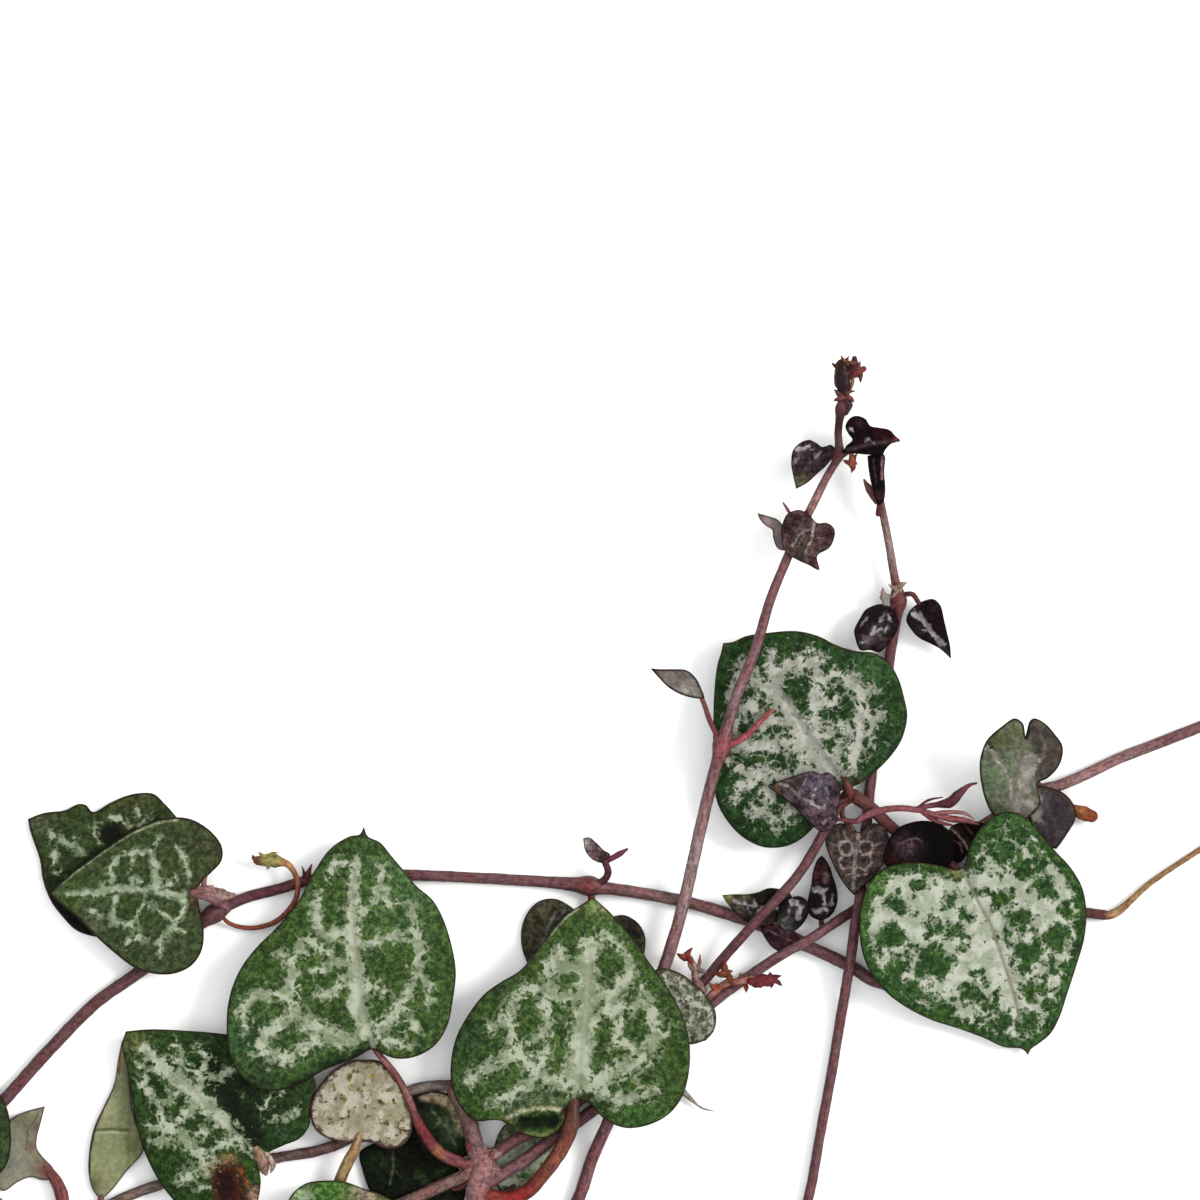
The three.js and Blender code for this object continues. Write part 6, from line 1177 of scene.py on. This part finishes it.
# Flowers, shoots and stubs. The terminal bud, the flower stalk, the bract and the broken stalk are
# soft and red, the centre shoot and the sprout are mauve like the stems, and the tendril, the side
# bud, the other flowers and the stubs have dried to rust and tan. Thin petals have curled.
dried_skin = stem_material("dried_skin", "#5A2A18", 0.75)


def petals(place, size, count, light, dark, spin=0.0, tilt=0.5):
    """A dried flower: short curled petals that stand round a place, each with a pointed end."""
    x, y, z = place
    made = []
    for k in range(count):
        turn = spin + 2 * np.pi * k / count + 0.5 * np.sin(7.3 * k + spin)
        long = size * (0.8 + 0.35 * np.sin(3.1 * k + 2 * spin))
        way = np.array((np.cos(turn), np.sin(turn)))
        route = [(x, y, z), (x + way[0] * long * 0.5, y + way[1] * long * 0.5, z + tilt * long * 0.6),
                 (x + way[0] * long - way[1] * long * 0.2, y + way[1] * long + way[0] * long * 0.2,
                  z + tilt * long * 0.5)]
        made.append(tube(route, [size * 0.22, size * 0.3, size * 0.2, size * 0.04], light, dark, step=0.12,
                         sides=8, wobble=0.5))
    return made


grow("flower_stalk", [
    tube([(83.6, 81.9, 2.7), (84.6, 82, 3), (85.6, 82.1, 3.3), (86.4, 81.6, 3.4), (87.4, 81.2, 3.4),
          (88.6, 80.9, 3.4), (90.2, 80.8, 3.4), (92, 81, 3.4)],
         [0.16, 0.22, 0.34, 0.4, 0.34, 0.32, 0.32, 0.3], "#9E6066", "#3E1218", step=0.2),
    tube([(91.4, 80.9, 3.4), (92.6, 80.6, 3.4), (94, 80.4, 3.4), (95, 80.2, 3.4), (95.8, 79.4, 3.4),
          (96.9, 78.5, 3.3), (97.6, 78.3, 3.3)], [0.24, 0.26, 0.3, 0.55, 0.5, 0.26, 0.1], "#5D2A33",
         "#2A0E14", step=0.2, tints=[(92.4, 80.7, 1, "#8A4A52"), (96.8, 78.6, 0.7, "#8A4248")]),
    tube([(91.8, 80.9, 3.3), (93.2, 81.4, 3.2), (94.8, 81.8, 3.1), (96.4, 82, 3), (97.8, 82.4, 2.9)],
         [0.26, 0.34, 0.36, 0.3, 0.12], "#A05A5C", "#45161C", step=0.2, wobble=0.2),
    tube([(91.9, 81, 3.3), (93, 81.8, 3.1), (94.2, 82.3, 3), (95.2, 82.5, 2.9)], [0.2, 0.26, 0.24, 0.1],
         "#8A4A48", "#45161C", step=0.2, wobble=0.2),
    tube([(93.4, 81.3, 3.3), (94.8, 81.2, 3.3), (96.4, 81.3, 3.2), (97.4, 81.9, 3.1)],
         [0.18, 0.24, 0.2, 0.06], "#B27A78", "#5A262C", step=0.2, wobble=0.2),
    tube([(91.6, 80.8, 3.4), (92.8, 80, 3.5), (94.2, 79.7, 3.5)], [0.1, 0.15, 0.06], "#6E343C", "#2E1216",
         step=0.2),
], [red_skin])
grow("tip_bud", [
    tube([(84.5, 41.2, 3), (84.6, 40.5, 3), (84.4, 39.9, 3), (84.4, 39.2, 3)], [0.4, 0.62, 0.5, 0.5],
         "#3E1A1E", "#16070A", step=0.15, wobble=0.2),
    tube([(84.4, 39.4, 3.05), (84.3, 38.6, 3.05), (84.2, 37.6, 3.1), (84.2, 36.6, 3.1)],
         [0.55, 0.8, 0.86, 0.7], "#240A0E", "#100406", step=0.15, wobble=0.15),
    *petals((84.4, 36.9, 3.2), 1.25, 8, "#5A2A1E", "#2A100C", 3.6, 0.2),
    *petals((84.7, 36.3, 3.3), 0.85, 6, "#96603C", "#4A2016", 4.2, 0.4),
    *petals((85.9, 37.2, 3.2), 0.95, 6, "#7E4038", "#34141A", 0.9, 0.3),
    tube([(85, 39.1, 3.1), (85.2, 38.4, 3.15), (85.3, 37.7, 3.2), (85.8, 37.4, 3.2)],
         [0.14, 0.2, 0.22, 0.2], "#B08A62", "#6A3A2A", step=0.12, wobble=0.3),
    tube([(85.1, 37.7, 3.2), (85.8, 37.2, 3.2), (86.4, 36.9, 3.2)], [0.3, 0.45, 0.25], "#8A3434", "#45161A",
         step=0.12, wobble=0.35),
    tube([(85, 37.6, 3.15), (85.3, 36.7, 3.15), (85.4, 35.9, 3.15)], [0.45, 0.6, 0.3], "#4E1C22", "#2A0C12",
         step=0.12, wobble=0.35),
    *petals((84.4, 39.5, 3.1), 1.2, 7, "#7A4648", "#34141A", 0.3, 0.25),
], [red_skin])
grow("tip_flower", [
    tube([(85.1, 45.2, 2.9), (85.2, 46, 2.6), (85.2, 46.6, 2.5)], [0.2, 0.34, 0.3], "#A4684A", "#5A2A1C",
         step=0.15, wobble=0.3),
    *petals((85.3, 46.3, 2.5), 0.9, 6, "#8E4A30", "#4A2014", 2.2, 0.2),
], [dried_skin])
grow("bract", [
    tube([(87.6, 50.2, 2.1), (87.2, 49.5, 2.1), (86.8, 48.8, 2.05), (86.4, 48, 2)],
         [0.26, 0.36, 0.38, 0.12], "#8A5650", "#4A2428", step=0.15, wobble=0.25),
    *petals((89.8, 58.9, 2.2), 0.95, 6, "#C0A890", "#6A4238", 2.6, 0.4),
    *petals((88.5, 59.8, 2), 1.0, 4, "#A89E90", "#5E463E", 1.2, 0.2),
], [red_skin])
grow("shoot_centre", [
    tube([(59, 88.6, 1), (60.4, 88, 1.5), (60.8, 87.2, 2), (60.5, 86.2, 2.6)], [0.3, 0.38, 0.38, 0.34],
         "#5E343A", "#2E181C", step=0.15),
    blade([(58.3, 83.8), (58.9, 83.7), (59.6, 84.2), (60.4, 85), (61, 85.4), (60.8, 86.2), (60.2, 86.3),
           (59.2, 85.9), (58.5, 85)], (60.6, 86.1, 2.8), (58.3, 83.8, 3.2), 0.35, fine=0.13,
          color="#6E5A5C", under="#4E343A", border=0.1,
          tints=[(58.7, 84.3, 0.5, "#B0A8A4"), (60.4, 85.8, 0.5, "#3E262A")], skin=1),
    tube([(60.5, 86.2, 2.6), (61.2, 85.8, 2.8), (61.9, 85.4, 2.85), (62.7, 84.9, 2.8)],
         [0.24, 0.3, 0.32, 0.14], "#7A3C4E", "#3E1A26", step=0.15),
], [stem_skin, dark_skin])
grow("sprout", [
    tube([(30.6, 88, 0.8), (30.8, 87.4, 1.2), (31.2, 86.4, 1.7)], [0.3, 0.28, 0.06], "#7A4A3C", "#3A2024",
         step=0.15),
    tube([(30.4, 88, 0.8), (30.4, 87.2, 1.3), (30.2, 86.6, 1.6)], [0.2, 0.16, 0.04], "#7A4A3C", "#3A2024",
         step=0.15),
], [stem_skin])
grow("tendril", [
    tube([(22.2, 91.6, 0.9), (22.9, 92.3, 0.7), (25, 92.8, 0.6), (27.5, 92.2, 0.6), (29.2, 90.6, 1),
          (29.8, 89, 1.8), (29.6, 87.6, 1.9), (28.9, 86.5, 1.6), (28.2, 86.1, 1.5)],
         [0.2, 0.24, 0.26, 0.28, 0.26, 0.34], "#A4624A", "#5E2E24", step=0.2,
         tints=[(28.8, 86.6, 0.9, "#C79A5C")]),
    tube([(28.6, 86.3, 1.5), (27.4, 86, 1.5), (26.6, 86, 1.5), (25.8, 86.1, 1.4)], [0.3, 0.62, 0.6, 0.4],
         "#A8A05A", "#5A5226", step=0.2, wobble=0.3, tints=[(25.6, 86, 0.7, "#6E4236")]),
    *petals((26.8, 85.8, 1.6), 1.0, 5, "#B0A862", "#6A6230", 1.0, 0.3),
    *petals((25.7, 86, 1.5), 0.7, 4, "#7A4A3C", "#3E2018", 0.3, 0.3),
], [dried_skin])
grow("dried_flowers", [
    tube([(70.2, 100.4, 1.3), (71.4, 99.2, 1.7), (72.6, 98.3, 1.7), (74, 98.1, 2.2), (75.2, 97.9, 2.5)],
         [0.25, 0.36, 0.36, 0.34, 0.4], "#C08A7A", "#8A3A24", step=0.2, wobble=0.2),
    tube([(75, 98, 2.5), (76, 98.1, 2.7), (77, 98, 2.7)], [0.45, 0.62, 0.5], "#82303A", "#4E1618",
         step=0.15, wobble=0.4),
    *petals((77.2, 98, 2.7), 1.15, 7, "#76303A", "#45161A", 0.2, 0.2),
    *petals((72.7, 97.3, 2), 1.25, 6, "#8A4A2A", "#42200F", 0.7, 0.3),
    *petals((74.4, 98.2, 2), 1.0, 4, "#94502E", "#4A2412", 2.9, 0.2),
    *petals((71.6, 98.8, 1.8), 0.9, 4, "#A05A34", "#552A14", 1.9, 0.3),
], [dried_skin])
grow("dried_florets", [
    tube([(70.4, 99, 1.4), (69.6, 98, 1.6), (69.4, 96.6, 1.8), (68.8, 95.4, 1.8)], [0.3, 0.4, 0.34, 0.2],
         "#B09A92", "#6A3A30", step=0.15, wobble=0.3),
    tube([(69.4, 97.4, 1.7), (69.9, 96.4, 1.8), (70, 95.5, 1.8)], [0.3, 0.24, 0.06], "#9A6A60", "#5A2A26",
         step=0.15, wobble=0.3),
    *petals((68.7, 95.7, 1.8), 1.0, 5, "#8E3A30", "#4A1A16", 0.5, 0.3),
    *petals((69.6, 97, 1.8), 1.0, 4, "#A8908A", "#6A4A46", 2.1, 0.3),
], [dried_skin])
grow("broken_stalk", [
    tube([(72.4, 74.6, 4.4), (73.7, 74.1, 4.5), (75, 73.2, 4.4), (76, 72.1, 4.3), (77.2, 71, 4.2)],
         [0.4, 0.36, 0.3, 0.28, 0.2], "#B4606A", "#7A2E34", step=0.2, tints=[(76.6, 71.4, 1, "#B86A50")]),
    tube([(76, 72, 4.3), (76.8, 71.8, 4.3)], [0.18, 0.06], "#B4605A", "#7A2E34", step=0.15),
], [red_skin])
grow("dry_stub", [
    tube([(65.4, 105.8, 0.66), (66.6, 107, 0.66), (68.2, 109, 0.6), (69.4, 110.2, 0.55), (70.2, 110.8, 0.5),
          (71.4, 111.1, 0.4)], [0.3, 0.3, 0.34, 0.3, 0.1, 0.05], "#A8A296", "#5E5850", step=0.2, wobble=0.15),
], [dried_skin])
grow("dry_stem", [
    tube([(108.2, 91.2, 0.65), (110, 91.5, 0.55), (111.3, 91.4, 0.5), (115.1, 88.25, 0.5),
          (120.1, 84.9, 0.5), (121.4, 84.1, 0.5)], [0.4, 0.45, 0.3, 0.28, 0.28, 0.28], "#B58F60", "#7A5A38",
         step=0.25, wobble=0.1, tints=[(109.4, 91.4, 1.2, "#6A4434"), (111.6, 91.2, 0.5, "#D6B48A")]),
], [dried_skin])
grow("side_bud", [
    tube([(105.4, 79.4, 1), (107.2, 80.8, 1), (108.3, 81.3, 1.1), (109.2, 81.6, 1.1)],
         [0.3, 0.34, 0.4, 0.75, 0.6], "#9E4E28", "#5A2814", step=0.2, wobble=0.15,
         tints=[(108, 80.8, 0.7, "#B98A50")]),
], [dried_skin])
